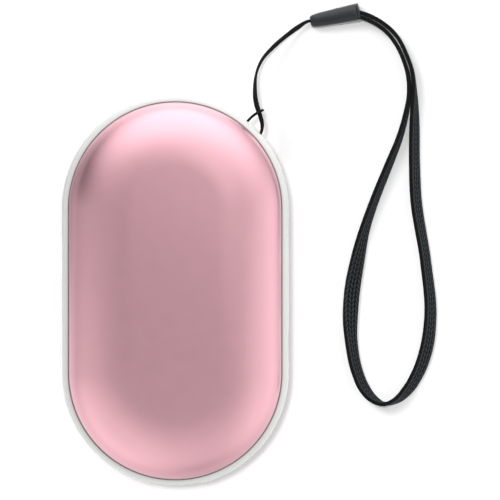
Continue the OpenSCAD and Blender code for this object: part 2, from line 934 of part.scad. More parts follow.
front_shell();
back_shell();
mid_frame();
front_liner();
back_liner();
front_heater_film();
back_heater_film();
front_foam_pad();
back_foam_pad();
front_thermistor();
back_thermistor();
front_heater_leads();
back_heater_leads();
cell_left();
cell_right();
cell_cradle();
cell_pads();
positive_strip();
negative_strip();
positive_lead();
negative_lead();
circuit_board();
controller_chip();
power_inductor();
power_mosfets();
board_capacitors();
usb_a_shell();
usb_a_tongue();
usb_a_contacts();
usb_c_shell();
usb_c_tongue();
switch_body();
switch_stem();
power_button();
indicator_leds();
led_light_guide();
board_screws();
case_screws();
strap_string();
strap_sleeve();
strap_loop();
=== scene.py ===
"""Looks of the rechargeable hand warmer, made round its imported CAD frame.

Everything is in metres in the frame's own axes: the body lies on its back shell with its length
along Y, the front shell faces up, and the strap lies on the table to its right.
"""

import json
import math

import bmesh
import bpy
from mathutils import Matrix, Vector


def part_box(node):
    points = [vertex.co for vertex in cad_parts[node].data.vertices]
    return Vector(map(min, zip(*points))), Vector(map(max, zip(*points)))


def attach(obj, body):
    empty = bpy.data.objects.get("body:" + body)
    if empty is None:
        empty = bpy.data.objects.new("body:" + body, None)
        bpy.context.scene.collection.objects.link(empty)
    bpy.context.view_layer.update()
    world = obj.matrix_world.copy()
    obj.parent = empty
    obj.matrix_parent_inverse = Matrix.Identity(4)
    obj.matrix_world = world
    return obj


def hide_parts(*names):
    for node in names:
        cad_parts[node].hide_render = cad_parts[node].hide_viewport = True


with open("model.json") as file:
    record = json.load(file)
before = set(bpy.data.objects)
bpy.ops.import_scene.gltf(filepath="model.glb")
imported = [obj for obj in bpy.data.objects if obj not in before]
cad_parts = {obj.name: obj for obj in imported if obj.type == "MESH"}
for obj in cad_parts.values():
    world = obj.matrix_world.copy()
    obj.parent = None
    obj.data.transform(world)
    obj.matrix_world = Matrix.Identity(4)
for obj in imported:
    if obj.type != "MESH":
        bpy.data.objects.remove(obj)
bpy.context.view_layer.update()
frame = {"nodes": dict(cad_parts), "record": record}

MM = 0.001


# Sizes

def tenth(length):
    """A length read off the frame, to a tenth of a millimetre."""
    return round(length, 4)


END_R = tenth(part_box("mid_frame")[1].x)
STRAIGHT_HALF = tenth(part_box("mid_frame")[1].y) - END_R
BODY_H = tenth(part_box("front_shell")[1].z)
MID_Z = BODY_H / 2
SHELL_R = tenth(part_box("front_shell")[1].x)
LEDGE_Z = tenth(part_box("front_shell")[0].z)
BAND_TOP = tenth(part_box("mid_frame")[1].z)

SEAM_GAP = 0.2 * MM
LIP_R = SHELL_R + SEAM_GAP
RIM_W = END_R - LIP_R
WEB_R = LIP_R - 2.8 * MM
BAND_POWER = 2.6
DOME_RUN = 17 * MM
DOME_POWER = 2.4
SHELL_T = 0.8 * MM
FLAT_R = SHELL_R - DOME_RUN
DOME_RISE = BODY_H - BAND_TOP

# Steps round half a turn of an end, and along a curved section
TURN_STEPS = 72
SECTION_STEPS = 40


# Camera, straight over the table at the photograph's scale and framing

PHOTO_SIDE_PX = 500
PIXEL = 0.2558 * MM
BODY_CENTRE_PX = (175.3, 290.75)
CAMERA_ABOVE = 2.5
SENSOR = 36


def linked(name, data):
    """New object of the scene."""
    made = bpy.data.objects.new(name, data)
    bpy.context.collection.objects.link(made)
    return made


def place_camera():
    lens = bpy.data.cameras.new("photo_camera")
    lens.sensor_width = SENSOR
    lens.lens = SENSOR * CAMERA_ABOVE / (PHOTO_SIDE_PX * PIXEL)
    lens.clip_end = 4 * CAMERA_ABOVE
    camera = linked("photo_camera", lens)
    middle = PHOTO_SIDE_PX / 2
    camera.location = (
        (middle - BODY_CENTRE_PX[0]) * PIXEL,
        (BODY_CENTRE_PX[1] - middle) * PIXEL,
        MID_Z + CAMERA_ABOVE,
    )
    bpy.context.scene.camera = camera


place_camera()


# Shader trees

# Waves that Blender's Wave texture fits in 2 pi units at scale 1
WAVES_PER_UNIT = 20


def add(tree, kind, inputs=None, **settings):
    """Adds a node and fills its inputs, by name or number, with values or other nodes' outputs."""
    node = tree.nodes.new(kind)
    for key, value in settings.items():
        setattr(node, key, value)
    for key, value in (inputs or {}).items():
        if isinstance(value, bpy.types.NodeSocket):
            tree.links.new(value, node.inputs[key])
        else:
            node.inputs[key].default_value = value
    return node


def get(tree, kind, inputs=None, **settings):
    """Adds a node and gives its first output."""
    return add(tree, kind, inputs, **settings).outputs[0]


def calc(tree, operation, *values):
    """Output of a Math node."""
    return get(tree, "ShaderNodeMath", dict(enumerate(values)), operation=operation)


def span(tree, value, low, high, to_low=0.0, to_high=1.0, smooth=False):
    """Output of a Map Range node, clamped."""
    kind = "SMOOTHSTEP" if smooth else "LINEAR"
    inputs = {0: value, 1: low, 2: high, 3: to_low, 4: to_high}
    return get(tree, "ShaderNodeMapRange", inputs, interpolation_type=kind)


def between(tree, share, first, second, blend="MIX"):
    """Colour that goes from first to second as share goes from 0 to 1."""
    inputs = {0: share, 6: first, 7: second}
    return add(tree, "ShaderNodeMix", inputs, data_type="RGBA", blend_type=blend).outputs[2]


def rgba(colour, times=1.0):
    """A display colour as the linear one that a socket takes, times a factor."""
    linear = [c / 12.92 if c <= 0.04045 else ((c + 0.055) / 1.055) ** 2.4 for c in colour[:3]]
    return (*[min(1.0, c * times) for c in linear], 1.0)


def coordinate(tree, kind="Object"):
    return add(tree, "ShaderNodeTexCoord").outputs[kind]


def noise(tree, size, detail=2.0, stretch=(1, 1, 1)):
    """Noise with features of that size in metres, stretched along the axes."""
    scaled = add(tree, "ShaderNodeMapping", {"Vector": coordinate(tree)})
    scaled.inputs["Scale"].default_value = [1 / (size * s) for s in stretch]
    inputs = {"Vector": scaled.outputs[0], "Scale": 1.0, "Detail": detail}
    return get(tree, "ShaderNodeTexNoise", inputs)


def dent(tree, height, depth, under=None):
    """Bump of that depth in metres, on top of another bump's normal if one is given."""
    inputs = {"Height": height, "Distance": depth, "Strength": 1.0}
    if under is not None:
        inputs["Normal"] = under
    return get(tree, "ShaderNodeBump", inputs)


def bands(tree, pitch, way, kind="Object", **inputs):
    """Wave bands whose pitch goes with that length in metres, on coordinates of that kind."""
    named = {key.replace("_", " "): value for key, value in inputs.items()}
    named |= {"Vector": coordinate(tree, kind), "Scale": math.pi / (WAVES_PER_UNIT * pitch)}
    return add(tree, "ShaderNodeTexWave", named, bands_direction=way).outputs["Fac"]


def socket_name(key):
    """The shader's socket for a keyword such as coat_weight."""
    return key.replace("_", " ").title().replace("Ior", "IOR")


def start(name, roughness, **fixed):
    """A new material's tree and its shader, with the values that are the same all over."""
    material = bpy.data.materials.new(f"{name}_finish")
    material.use_nodes = True
    tree = material.node_tree
    shader = tree.nodes["Principled BSDF"]
    for key, value in {"roughness": roughness, **fixed}.items():
        shader.inputs[socket_name(key)].default_value = value
    return material, tree, shader


def feed(tree, shader, **outputs):
    """Links nodes' outputs to the shader's sockets."""
    for key, output in outputs.items():
        tree.links.new(output, shader.inputs[socket_name(key)])


# How much slower the drift is than the grain, and the values that most of a noise lies between
DRIFT_TO_GRAIN = 40
NOISE_SPREAD = (0.3, 0.7)


def colour_of(slot):
    """Base colour that the record gives a material slot."""
    return next(m["base_color"] for m in frame["record"]["materials"] if m["slot"] == slot)


def grained(slot, roughness, grain, depth, tint=0.05, spread=0.05, stretch=(1, 1, 1), shade=1.0,
            **fixed):
    """Finish with fine grain, sized in millimetres, and slow drifts in colour and roughness.

    Its colour is shade times the slot's, which the sleeve and frame set to look right in this
    scene's light.
    """
    material, tree, shader = start(slot, roughness, **fixed)
    colour = colour_of(slot)
    fine = noise(tree, grain * MM, 3.0, stretch)
    drift = noise(tree, DRIFT_TO_GRAIN * grain * MM, 3.0)
    both = calc(tree, "ADD", calc(tree, "MULTIPLY", fine, 0.5), calc(tree, "MULTIPLY", drift, 0.5))
    share = span(tree, both, *NOISE_SPREAD)
    feed(tree, shader,
         base_color=between(tree, share, rgba(colour, shade - tint), rgba(colour, shade + tint)),
         roughness=span(tree, both, *NOISE_SPREAD, roughness - spread, roughness + spread),
         normal=dent(tree, fine, depth * MM))
    return material


def rose_aluminium():
    """Blasted and anodised: a satin metal with a pearly drift and a thin clear layer."""
    return grained(
        "rose_aluminium", 0.3, 0.09, 0.0006, tint=0.012, spread=0.02,
        metallic=1.0, coat_weight=0.25, coat_roughness=0.12, coat_ior=1.5,
    )


def white_frame():
    """Moulded white, polished, with a slight orange-peel."""
    return grained(
        "white_frame", 0.3, 0.5, 0.0015, tint=0.01, spread=0.04, shade=0.82,
        specular_ior_level=0.4,
    )


def brushed(slot, roughness, along=(1, 30, 1)):
    """Sheet metal with drawing marks along one axis."""
    return grained(slot, roughness, 0.03, 0.0008, tint=0.06, spread=0.08, stretch=along,
                   metallic=1.0)


# Fine yarns of the strap, and the vertex attribute that says how deep its weave lies, 0 to 1, from
# which the finish paints shade
YARN = 0.11 * MM
WEAVE_DEPTH = "weave_depth"


def woven(slot, proud, sunk):
    """Black nylon: its colour has a painted highlight on the proud yarns and painted shade on the
    sunk ones.

    Proud and sunk are factors on the slot's colour for that painted highlight and painted shade,
    set to look right in this scene's light.
    """
    material, tree, shader = start(slot, 0.7, specular_ior_level=0.16)
    colour = colour_of(slot)
    yarns = bands(tree, YARN, "DIAGONAL", "UV", Distortion=1.2, Detail=2.0, Detail_Scale=3.0)
    fuzz = noise(tree, 0.05 * MM, 3.0)
    drift = noise(tree, 1.5 * MM, 2.0)
    depth = add(tree, "ShaderNodeAttribute", attribute_name=WEAVE_DEPTH).outputs["Fac"]
    strands = calc(tree, "MULTIPLY_ADD", yarns, 0.4, calc(tree, "MULTIPLY", fuzz, 0.8))
    height = calc(tree, "MULTIPLY", span(tree, depth, 0.0, 0.4, 1.0, 0.0), strands)
    # Colour runs from painted shade where the weave lies deep, which the webbing's edges count as,
    # to a painted highlight on proud yarns
    low, high = [
        between(tree, drift, rgba(colour, 0.8 * times), rgba(colour, 1.2 * times))
        for times in (sunk, proud)
    ]
    feed(tree, shader,
         base_color=between(tree, span(tree, height, 0.1, 0.7), low, high),
         roughness=span(tree, height, 0.0, 0.7, 0.8, 0.6),
         normal=dent(tree, fuzz, 0.008 * MM, dent(tree, yarns, 0.012 * MM)))
    return material


# Etched traces under the heater film and the board's solder mask
TRACE_PITCH = 1.6 * MM
TRACE_COLOUR = (0.62, 0.40, 0.20)
COPPER_PATCH = 2.4 * MM
ETCH_DEPTH = 0.02 * MM


def heater_film():
    """Amber film over a meandering etched trace."""
    material, tree, shader = start("heater_film", 0.35, coat_weight=0.4, coat_roughness=0.1)
    waves = bands(tree, TRACE_PITCH, "Y")
    trace = span(tree, waves, 0.45, 0.55, smooth=True)
    amber = rgba(colour_of("heater_film"))
    feed(tree, shader,
         base_color=between(tree, trace, amber, rgba(TRACE_COLOUR)),
         normal=dent(tree, trace, ETCH_DEPTH))
    return material


def board():
    """Green solder mask, lighter over the copper under it."""
    material, tree, shader = start("board", 0.35, coat_weight=0.3, coat_roughness=0.2)
    inputs = {"Vector": coordinate(tree), "Scale": 1 / COPPER_PATCH, "Randomness": 1.0}
    cells = add(tree, "ShaderNodeTexVoronoi", inputs, distance="CHEBYCHEV").outputs["Color"]
    pick = get(tree, "ShaderNodeSeparateColor", {0: cells})
    copper = span(tree, pick, 0.45, 0.55)
    green = colour_of("board")
    feed(tree, shader,
         base_color=between(tree, copper, rgba(green, 0.9), rgba(green, 1.8)),
         normal=dent(tree, copper, ETCH_DEPTH))
    return material


def light_guide():
    """Clear moulding with a light frost."""
    return grained(
        "light_guide", 0.18, 0.2, 0.001, tint=0.01, spread=0.05,
        transmission_weight=0.85, ior=1.58,
    )


# Roughness, size and depth of the grain in millimetres, and how far the colour drifts
PLAIN_FINISHES = {
    "dark_liner": (0.55, 0.3, 0.01, 0.05), "cradle_plastic": (0.55, 0.3, 0.01, 0.05),
    "foam_pad": (0.8, 0.25, 0.06, 0.08), "cell_pad": (0.85, 0.3, 0.08, 0.12),
    "thermistor": (0.45, 0.2, 0.01, 0.05), "cell_wrap": (0.25, 1.5, 0.01, 0.04),
    "chip": (0.5, 0.08, 0.006, 0.15), "inductor": (0.6, 0.12, 0.01, 0.2),
    "capacitor": (0.4, 0.1, 0.004, 0.1), "tongue_white": (0.35, 0.2, 0.003, 0.02),
    "tongue_black": (0.4, 0.2, 0.003, 0.1), "switch_black": (0.45, 0.2, 0.006, 0.05),
    "switch_stem": (0.45, 0.2, 0.006, 0.05), "button_white": (0.28, 0.4, 0.0012, 0.01),
    "led": (0.2, 0.3, 0.002, 0.03),
}


def make_materials():
    """One finish for each material slot of the record."""
    made = [
        rose_aluminium(), white_frame(), heater_film(), board(), light_guide(),
        woven("string_fabric", 2.0, 0.2), woven("webbing_fabric", 4.6, 0.25),
        brushed("socket_steel", 0.22), brushed("nickel_strip", 0.3, (30, 1, 1)),
        brushed("screw_steel", 0.32, (1, 1, 1)), brushed("contact_gold", 0.2),
        grained("sleeve_rubber", 0.28, 0.06, 0.006, tint=0.1, spread=0.06, shade=0.25,
                specular_ior_level=0.45),
        *[grained(slot, 0.45, 0.4, 0.004, specular_ior_level=0.4)
          for slot in ("red_wire", "black_wire")],
        *[grained(slot, *values) for slot, values in PLAIN_FINISHES.items()],
    ]
    return {material.name.removesuffix("_finish"): material for material in made}


finishes = make_materials()


# Meshes

def piece(name, mesh, slot, body="body", replaces=None, sharp=30):
    """Links a finished mesh as a piece of the object, with its finish and body, and hides the CAD
    node it replaces.
    """
    mesh.name = name
    mesh.materials.clear()
    mesh.materials.append(finishes[slot])
    mesh.polygons.foreach_set("use_smooth", [True] * len(mesh.polygons))
    mesh.set_sharp_from_angle(angle=math.radians(sharp))
    made = linked(name, mesh)
    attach(made, body)
    if replaces:
        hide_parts(replaces)
    return made


def mesh_of(points, faces):
    mesh = bpy.data.meshes.new("raw")
    mesh.from_pydata([tuple(p) for p in points], [], faces)
    return mesh


def turned_out(mesh, weld=1e-7):
    """The mesh with its doubles merged and its faces turned outwards."""
    shape = bmesh.new()
    shape.from_mesh(mesh)
    bmesh.ops.remove_doubles(shape, verts=shape.verts, dist=weld)
    bmesh.ops.recalc_face_normals(shape, faces=shape.faces)
    shape.to_mesh(mesh)
    shape.free()
    return mesh


def loft(rings, distances=None, depths=None):
    """Closed mesh through rings of points, with a UV map in metres and the weave's depth."""
    count = len(rings[0])
    last = len(rings) - 1
    points = [p for ring in rings for p in ring]
    walls = [
        (i * count + k, i * count + (k + 1) % count,
         (i + 1) * count + (k + 1) % count, (i + 1) * count + k)
        for i in range(last) for k in range(count)
    ]
    caps = [tuple(range(count))[::-1], tuple(last * count + k for k in range(count))]
    mesh = mesh_of(points, walls + caps)
    if distances:
        ring = rings[0]
        round_it = [0.0]
        for k in range(count):
            round_it.append(round_it[-1] + (ring[(k + 1) % count] - ring[k]).length)
        corners = [(i + down, k + on) for i in range(last) for k in range(count)
                   for down, on in ((0, 0), (0, 1), (1, 1), (1, 0))]
        flat = mesh.uv_layers.new(name="along_round").data
        for corner, (row, column) in zip(flat, corners):
            corner.uv = (distances[row], round_it[column])
    if depths:
        mesh.attributes.new(WEAVE_DEPTH, "FLOAT", "POINT").data.foreach_set("value", depths)
    return mesh


def smooth_line(knots, spacing):
    """Points about spacing apart on a smooth curve through knots of three or more numbers."""
    gaps = [math.dist(a[:3], b[:3]) for a, b in zip(knots, knots[1:])]
    slopes = [[(b - a) / gaps[0] for a, b in zip(knots[0], knots[1])]]
    for i in range(1, len(knots) - 1):
        before, after = gaps[i - 1], gaps[i]
        slopes.append([
            ((b - a) / before * after + (c - b) / after * before) / (before + after)
            for a, b, c in zip(knots[i - 1], knots[i], knots[i + 1])
        ])
    slopes.append([(b - a) / gaps[-1] for a, b in zip(knots[-2], knots[-1])])
    line = [list(knots[0])]
    for i, gap in enumerate(gaps):
        steps = max(1, round(gap / spacing))
        for n in range(1, steps + 1):
            t = n / steps
            line.append([
                (2 * t**3 - 3 * t**2 + 1) * a + (t**3 - 2 * t**2 + t) * gap * ma
                + (3 * t**2 - 2 * t**3) * b + (t**3 - t**2) * gap * mb
                for a, b, ma, mb in zip(knots[i], knots[i + 1], slopes[i], slopes[i + 1])
            ])
    return line


def headings(line):
    """Direction of travel at each point of a line of Vectors."""
    ends = [line[0]] + line + [line[-1]]
    return [(ends[i + 2] - ends[i]).normalized() for i in range(len(line))]


def distances_along(line):
    run = [0.0]
    for a, b in zip(line, line[1:]):
        run.append(run[-1] + (b - a).length)
    return run


# Strap: the string through the lug

STRING_D = 0.7 * MM
STRING_ROUTE_MM = [
    (36.8, 69.25, 1.15), (34.2, 69.2, 1.15), (31.55, 67.4, 1.6), (28.5, 65.2, 2.7),
    (25.45, 62.55, 4.15), (22.35, 59.25, 5.95), (20.8, 55.85, 7.75), (20.2, 51.9, 9.75),
    (20.45, 47.7, 11.6), (21.5, 44.65, 12.15), (22.05, 42.6, 12.1), (21.95, 40.6, 12.1),
    (20.4, 38.7, 12.1), (18.45, 39.95, 12.1), (17.1, 41.9, 12.1), (18.1, 42.95, 12.0),
    (19.7, 44.6, 11.5), (21.55, 45.8, 11.2), (22.2, 46.15, 11.6), (22.4, 46.2, 12.35),
    (22.25, 46.15, 13.1), (21.55, 45.85, 13.6), (19.7, 44.6, 13.25), (18.1, 42.95, 12.9),
    (17.1, 41.9, 12.9), (18.45, 39.95, 12.9), (20.4, 38.7, 12.9), (22.0, 40.55, 12.9),
    (22.4, 42.65, 12.9), (21.95, 44.8, 12.85), (21.05, 47.85, 12.4), (20.55, 51.9, 10.55),
    (20.8, 55.9, 8.55), (22.2, 59.35, 6.75), (25.15, 62.85, 4.95), (28.25, 65.55, 3.4),
    (31.25, 67.85, 2.4), (34.2, 69.3, 1.9), (36.8, 69.4, 1.9),
]
STRING_STEP = 0.1 * MM
STRING_SIDES = 16
BRAID_STRANDS = 4
BRAID_TURN = 2.2 * MM
BRAID_DEPTH = 0.06 * MM


def braid_depth(distance, turn):
    """How far the string's surface lies in, between strands that wind both ways."""
    forward = math.sin(BRAID_STRANDS * (turn + math.tau * distance / BRAID_TURN) / 2)
    backward = math.sin(BRAID_STRANDS * (turn - math.tau * distance / BRAID_TURN) / 2)
    return BRAID_DEPTH * (1 - max(abs(forward), abs(backward)) ** 2) * 2


def make_string():
    knots = [tuple(c * MM for c in p) for p in STRING_ROUTE_MM]
    line = [Vector(p) for p in smooth_line(knots, STRING_STEP)]
    run = distances_along(line)
    rings, depths = [], []
    up = Vector((0, 0, 1))
    for centre, heading, distance in zip(line, headings(line), run):
        up = (up - up.dot(heading) * heading).normalized()
        across = heading.cross(up)
        ring = []
        for k in range(STRING_SIDES):
            turn = math.tau * k / STRING_SIDES
            depth = braid_depth(distance, turn)
            depths.append(min(1.0, depth / BRAID_DEPTH))
            radius = STRING_D / 2 - depth
            ring.append(centre + radius * (math.cos(turn) * up + math.sin(turn) * across))
        rings.append(ring)
    made = piece("strap_string_braid", loft(rings, run, depths), "string_fabric",
                 replaces="strap_string", sharp=80)
    return made, line, run[-1]


# Strap: the webbing loop

WEBBING_W = 4 * MM
WEBBING_T = 1.05 * MM
# x, y and lift in millimetres, and lean: 90 stands on edge, 0 and 180 lie flat
LOOP_ROUTE_MM = [
    (45.4, 70.6, 0.55, 90), (47.05, 70.3, 0.5, 90), (49.9, 69.25, 0.35, 90), (52.9, 67.5, 0.2, 92),
    (54.95, 65.6, 0.1, 92), (56.85, 62.9, 0, 92), (58.8, 58.55, 0, 92), (59.65, 55.55, 0, 93),
    (60.0, 52.4, 0, 94), (59.9, 49.4, 0, 95), (59.35, 46.15, 0, 98), (57.75, 40.0, 0, 103),
    (54.55, 31.8, 0, 110), (51.25, 23.6, 0, 113), (48.45, 15.4, 0, 121), (46.6, 7.35, 0, 145),
    (45.25, -0.8, 0, 165), (45.1, -13.1, 0, 132), (46.75, -21.25, 0, 126), (48.5, -25.2, 0, 124),
    (50.5, -27.6, 0, 113), (53.6, -29.1, 0, 92), (56.5, -28.25, 0, 76), (59.5, -25.55, 0, 58),
    (62.0, -21.6, 0, 50), (64.3, -15.3, 0, 44), (65.4, -7.0, 0, 50), (64.2, 7.45, 0, 57),
    (61.7, 23.75, 0, 55), (61.35, 31.9, 0, 57), (61.35, 44.2, 0, 64), (61.35, 48.3, 0, 73),
    (61.25, 52.45, 0, 84), (60.7, 56.55, 0, 88), (59.25, 60.7, 0, 89), (56.8, 65.35, 0.1, 88),
    (54.25, 67.95, 0.2, 88), (50.4, 70.3, 0.35, 90), (47.4, 71.4, 0.5, 90), (45.6, 71.75, 0.55, 90),
]
LOOP_STEP = 0.17 * MM
# Radius of the webbing's long corners, and steps over its faces, corners and edges
CORNER_R = 0.22 * MM
FACE_STEPS = 24
CORNER_STEPS = 3
RIBS = 4
RIB_DEPTH = 0.14 * MM
TICK_DEPTH = 0.07 * MM
WEAVE_PITCH = 1.25 * MM
# How sunk the weave counts on the webbing's corners and edges; it shapes nothing and only paints
# shade on them through the finish
EDGE_SHADE_DEPTH = 0.12 * MM


def webbing_section():
    """Points round the webbing: across, through, place on the face from -1 to 1, which face."""
    a, b = WEBBING_W / 2, WEBBING_T / 2
    section = []
    for face in (1, -1):
        for k in range(FACE_STEPS + 1):
            place = face * (1 - 2 * k / FACE_STEPS)
            section.append((place * (a - CORNER_R), face * b, place, face))
        for corner in (1, -1):
            for k in range(CORNER_STEPS):
                quarter = (k + 1) / CORNER_STEPS if corner > 0 else 1 + k / CORNER_STEPS
                out, along = math.sin(math.pi / 2 * quarter), math.cos(math.pi / 2 * quarter)
                section.append((-face * (a - CORNER_R + CORNER_R * out),
                                face * (corner * (b - CORNER_R) + CORNER_R * along), 0, 0))
    return section


def rib_depth(distance, place, face):
    """How far the weave lies in: grooves between ribs, and slanting ticks across each rib."""
    across = (place + 1) / 2 * RIBS
    rib = min(RIBS - 1, int(across))
    inside = across - rib
    slant = (inside - 0.5) * (1 if (rib + (face > 0)) % 2 else -1)
    tick = 0.5 - 0.5 * math.cos(math.tau * (distance / WEAVE_PITCH + slant))
    groove = 0.2 if abs(place) > 1 - 1 / RIBS else 1
    return groove * RIB_DEPTH * (1 - math.sin(math.pi * inside)) ** 2 + TICK_DEPTH * tick


def make_webbing():
    knots = [(x * MM, y * MM, lift * MM, lean) for x, y, lift, lean in LOOP_ROUTE_MM]
    line, leans = [], []
    for x, y, lift, lean in smooth_line(knots, LOOP_STEP):
        turn = math.radians(lean)
        height = WEBBING_W / 2 * math.sin(turn) + WEBBING_T / 2 * abs(math.cos(turn))
        line.append(Vector((x, y, lift + height)))
        leans.append(turn)
    run = distances_along(line)
    section = webbing_section()
    rings, depths = [], []
    for centre, heading, turn, distance in zip(line, headings(line), leans, run):
        side = Vector((0, 0, 1)).cross(heading).normalized()
        wide = math.cos(turn) * side + math.sin(turn) * Vector((0, 0, 1))
        wide = (wide - wide.dot(heading) * heading).normalized()
        thick = wide.cross(heading)
        ring = []
        for across, through, place, face in section:
            depth = rib_depth(distance, place, face) if face else EDGE_SHADE_DEPTH
            depths.append(depth / (RIB_DEPTH + TICK_DEPTH))
            through -= face * depth
            ring.append(centre + across * wide + through * thick)
        rings.append(ring)
    made = piece("wrist_loop_webbing", turned_out(loft(rings, run, depths)), "webbing_fabric",
                 replaces="strap_loop", sharp=80)
    return made, line, run[-1]


# Strap: the moulded sleeve that joins string and webbing

SLEEVE_AT = Vector((34.6, 69.05, 0)) * MM
SLEEVE_TURN = math.radians(11.5)
SLEEVE_ALONG = Vector((math.cos(SLEEVE_TURN), math.sin(SLEEVE_TURN), 0))
SLEEVE_SIDE = Vector((-SLEEVE_ALONG.y, SLEEVE_ALONG.x, 0))
SLEEVE_SIDES = 64
SLEEVE_SQUARENESS = 2.5
SLEEVE_LIFT_MM = 1.2
# Distance from the small end, half width and half height of the outside, in millimetres
SLEEVE_STATIONS_MM = [
    (0.0, 1.12, 1.12), (0.03, 1.24, 1.2), (0.1, 1.34, 1.27), (0.22, 1.43, 1.35), (0.4, 1.52, 1.43),
    (0.7, 1.62, 1.52), (1.16, 1.71, 1.61), (1.95, 1.81, 1.72), (2.7, 1.88, 1.8), (3.5, 1.94, 1.88),
    (5.9, 2.05, 2.03), (8.2, 2.15, 2.19), (10.7, 2.24, 2.36), (11.7, 2.28, 2.42),
    (12.05, 2.29, 2.43), (12.12, 2.27, 2.41), (12.2, 2.24, 2.38), (12.28, 2.27, 2.41),
    (12.35, 2.31, 2.46),
    (12.5, 2.32, 2.47), (12.72, 2.31, 2.46), (12.86, 2.27, 2.42), (12.9, 2.19, 2.34),
]
# Hole for the string, as depth, half width and half height, and its middle's place in the end
STRING_HOLE_MM = [(0.9, 0.1, 0.3), (0.9, 0.42, 0.76), (0.12, 0.44, 0.78), (0.03, 0.48, 0.82),
                  (0.0, 0.55, 0.88)]
STRING_HOLE_SIDE, STRING_HOLE_Z = 0.16 * MM, 1.52 * MM
# Recess for the webbing, as distance along the sleeve, half width and half height
WEBBING_RECESS_MM = [(12.9, 1.98, 2.2), (12.86, 1.84, 2.1), (12.7, 1.74, 2.05), (11.9, 1.7, 2.02),
                     (11.9, 0.3, 0.4)]
WEBBING_RECESS_SIDE, WEBBING_RECESS_Z = -0.3 * MM, 2.44 * MM


def sleeve_ring(distance, half_w, half_h, centre_z, sideways=0.0):
    ring = []
    for k in range(SLEEVE_SIDES):
        turn = math.tau * k / SLEEVE_SIDES
        c, s = math.cos(turn), math.sin(turn)
        across = sideways + half_w * math.copysign(abs(c) ** (2 / SLEEVE_SQUARENESS), c)
        up = centre_z + half_h * math.copysign(abs(s) ** (2 / SLEEVE_SQUARENESS), s)
        ring.append(
            SLEEVE_AT + distance * SLEEVE_ALONG + across * SLEEVE_SIDE + Vector((0, 0, up)))
    return ring


def make_sleeve():
    """From the bottom of the string's hole, over the outside, into the webbing's recess."""
    rings = [
        sleeve_ring(depth * MM, w * MM, h * MM, STRING_HOLE_Z, STRING_HOLE_SIDE)
        for depth, w, h in STRING_HOLE_MM
    ]
    # The ends lift off the table as far as the body's roundness makes them
    for distance, w, h in SLEEVE_STATIONS_MM:
        rings.append(sleeve_ring(distance * MM, w * MM, h * MM, max(h, SLEEVE_LIFT_MM) * MM))
    rings += [
        sleeve_ring(distance * MM, w * MM, h * MM, WEBBING_RECESS_Z, WEBBING_RECESS_SIDE)
        for distance, w, h in WEBBING_RECESS_MM
    ]
    return piece("strap_sleeve_moulding", turned_out(loft(rings)), "sleeve_rubber",
                 replaces="strap_sleeve", sharp=60)


sleeve = make_sleeve()
string, string_line, string_length = make_string()
webbing, webbing_line, webbing_length = make_webbing()
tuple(string_line[0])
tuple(webbing_line[0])


# Pieces whose section runs round the stadium outline

def node_group(name, output, inputs):
    """New Geometry Nodes tree with named inputs, and the sockets that give them."""
    tree = bpy.data.node_groups.new(name, "GeometryNodeTree")
    for label, kind in inputs.items():
        tree.interface.new_socket(label, in_out="INPUT", socket_type=f"NodeSocket{kind}")
    tree.interface.new_socket(output, in_out="OUTPUT", socket_type="NodeSocketGeometry")
    return tree, tree.nodes.new("NodeGroupInput").outputs


def end_group(tree, geometry, finish):
    """Ends a tree in plain geometry with a material."""
    real = get(tree, "GeometryNodeRealizeInstances", {0: geometry})
    inputs = {"Geometry": real, "Material": finish}
    painted = get(tree, "GeometryNodeSetMaterial", inputs)
    add(tree, "NodeGroupOutput", {0: painted})
    return tree


def stadium_tree():
    """Node tree that carries a section, given as a line of points, round the stadium outline."""
    tree, given = node_group("section_round_stadium", "Shape", {
        "Section": "Geometry", "Straight Half": "Float", "Turn Steps": "Int",
        "Finish": "Material",
    })
    count = get(tree, "GeometryNodeAttributeDomainSize", {0: given["Section"]})
    along = calc(tree, "SUBTRACT", count, 1.0)
    rows = calc(tree, "MULTIPLY_ADD", given["Turn Steps"], 2.0, 2.0)
    grid = get(tree, "GeometryNodeMeshGrid", {
        "Size X": along, "Size Y": rows, "Vertices X": count,
        "Vertices Y": calc(tree, "ADD", rows, 1.0),
    })

    # Each grid point's place in the section and its row round the outline, as whole numbers
    at = add(tree, "ShaderNodeSeparateXYZ",
             {0: get(tree, "GeometryNodeInputPosition")}).outputs
    column = calc(tree, "ROUND", calc(tree, "MULTIPLY_ADD", along, 0.5, at[0]))
    row = calc(tree, "ROUND", calc(tree, "MULTIPLY_ADD", rows, 0.5, at[1]))
    rows_an_end = calc(tree, "ADD", given["Turn Steps"], 1.0)
    end = calc(tree, "FLOOR", calc(tree, "DIVIDE", row, rows_an_end))
    step = calc(tree, "DIVIDE", math.pi, given["Turn Steps"])
    turn = calc(tree, "MULTIPLY", calc(tree, "SUBTRACT", row, end), step)
    side = calc(tree, "COSINE", calc(tree, "MULTIPLY", end, math.pi))
    centre_y = calc(tree, "MULTIPLY", side, given["Straight Half"])

    point = get(tree, "GeometryNodeSampleIndex", {
        "Geometry": given["Section"],
        "Value": get(tree, "GeometryNodeInputPosition"),
        "Index": column,
    }, data_type="FLOAT_VECTOR")
    section = add(tree, "ShaderNodeSeparateXYZ", {0: point}).outputs
    place = get(tree, "ShaderNodeCombineXYZ", {
        0: calc(tree, "MULTIPLY", section[0], calc(tree, "COSINE", turn)),
        1: calc(tree, "MULTIPLY_ADD", section[0], calc(tree, "SINE", turn), centre_y),
        2: section[2],
    })

    moved = get(tree, "GeometryNodeSetPosition", {"Geometry": grid, "Position": place})
    welded = get(tree, "GeometryNodeMergeByDistance",
                 {"Geometry": moved, "Distance": 0.001 * MM})
    return end_group(tree, welded, given["Finish"])


STADIUM = stadium_tree()


def with_nodes(host, tree, values):
    """Gives a host object a Geometry Nodes modifier with its inputs set by the sockets' names."""
    modifier = host.modifiers.new(tree.name, "NODES")
    modifier.node_group = tree
    for item in tree.interface.items_tree:
        if item.item_type == "SOCKET" and item.in_out == "INPUT" and item.name in values:
            modifier[item.identifier] = values[item.name]


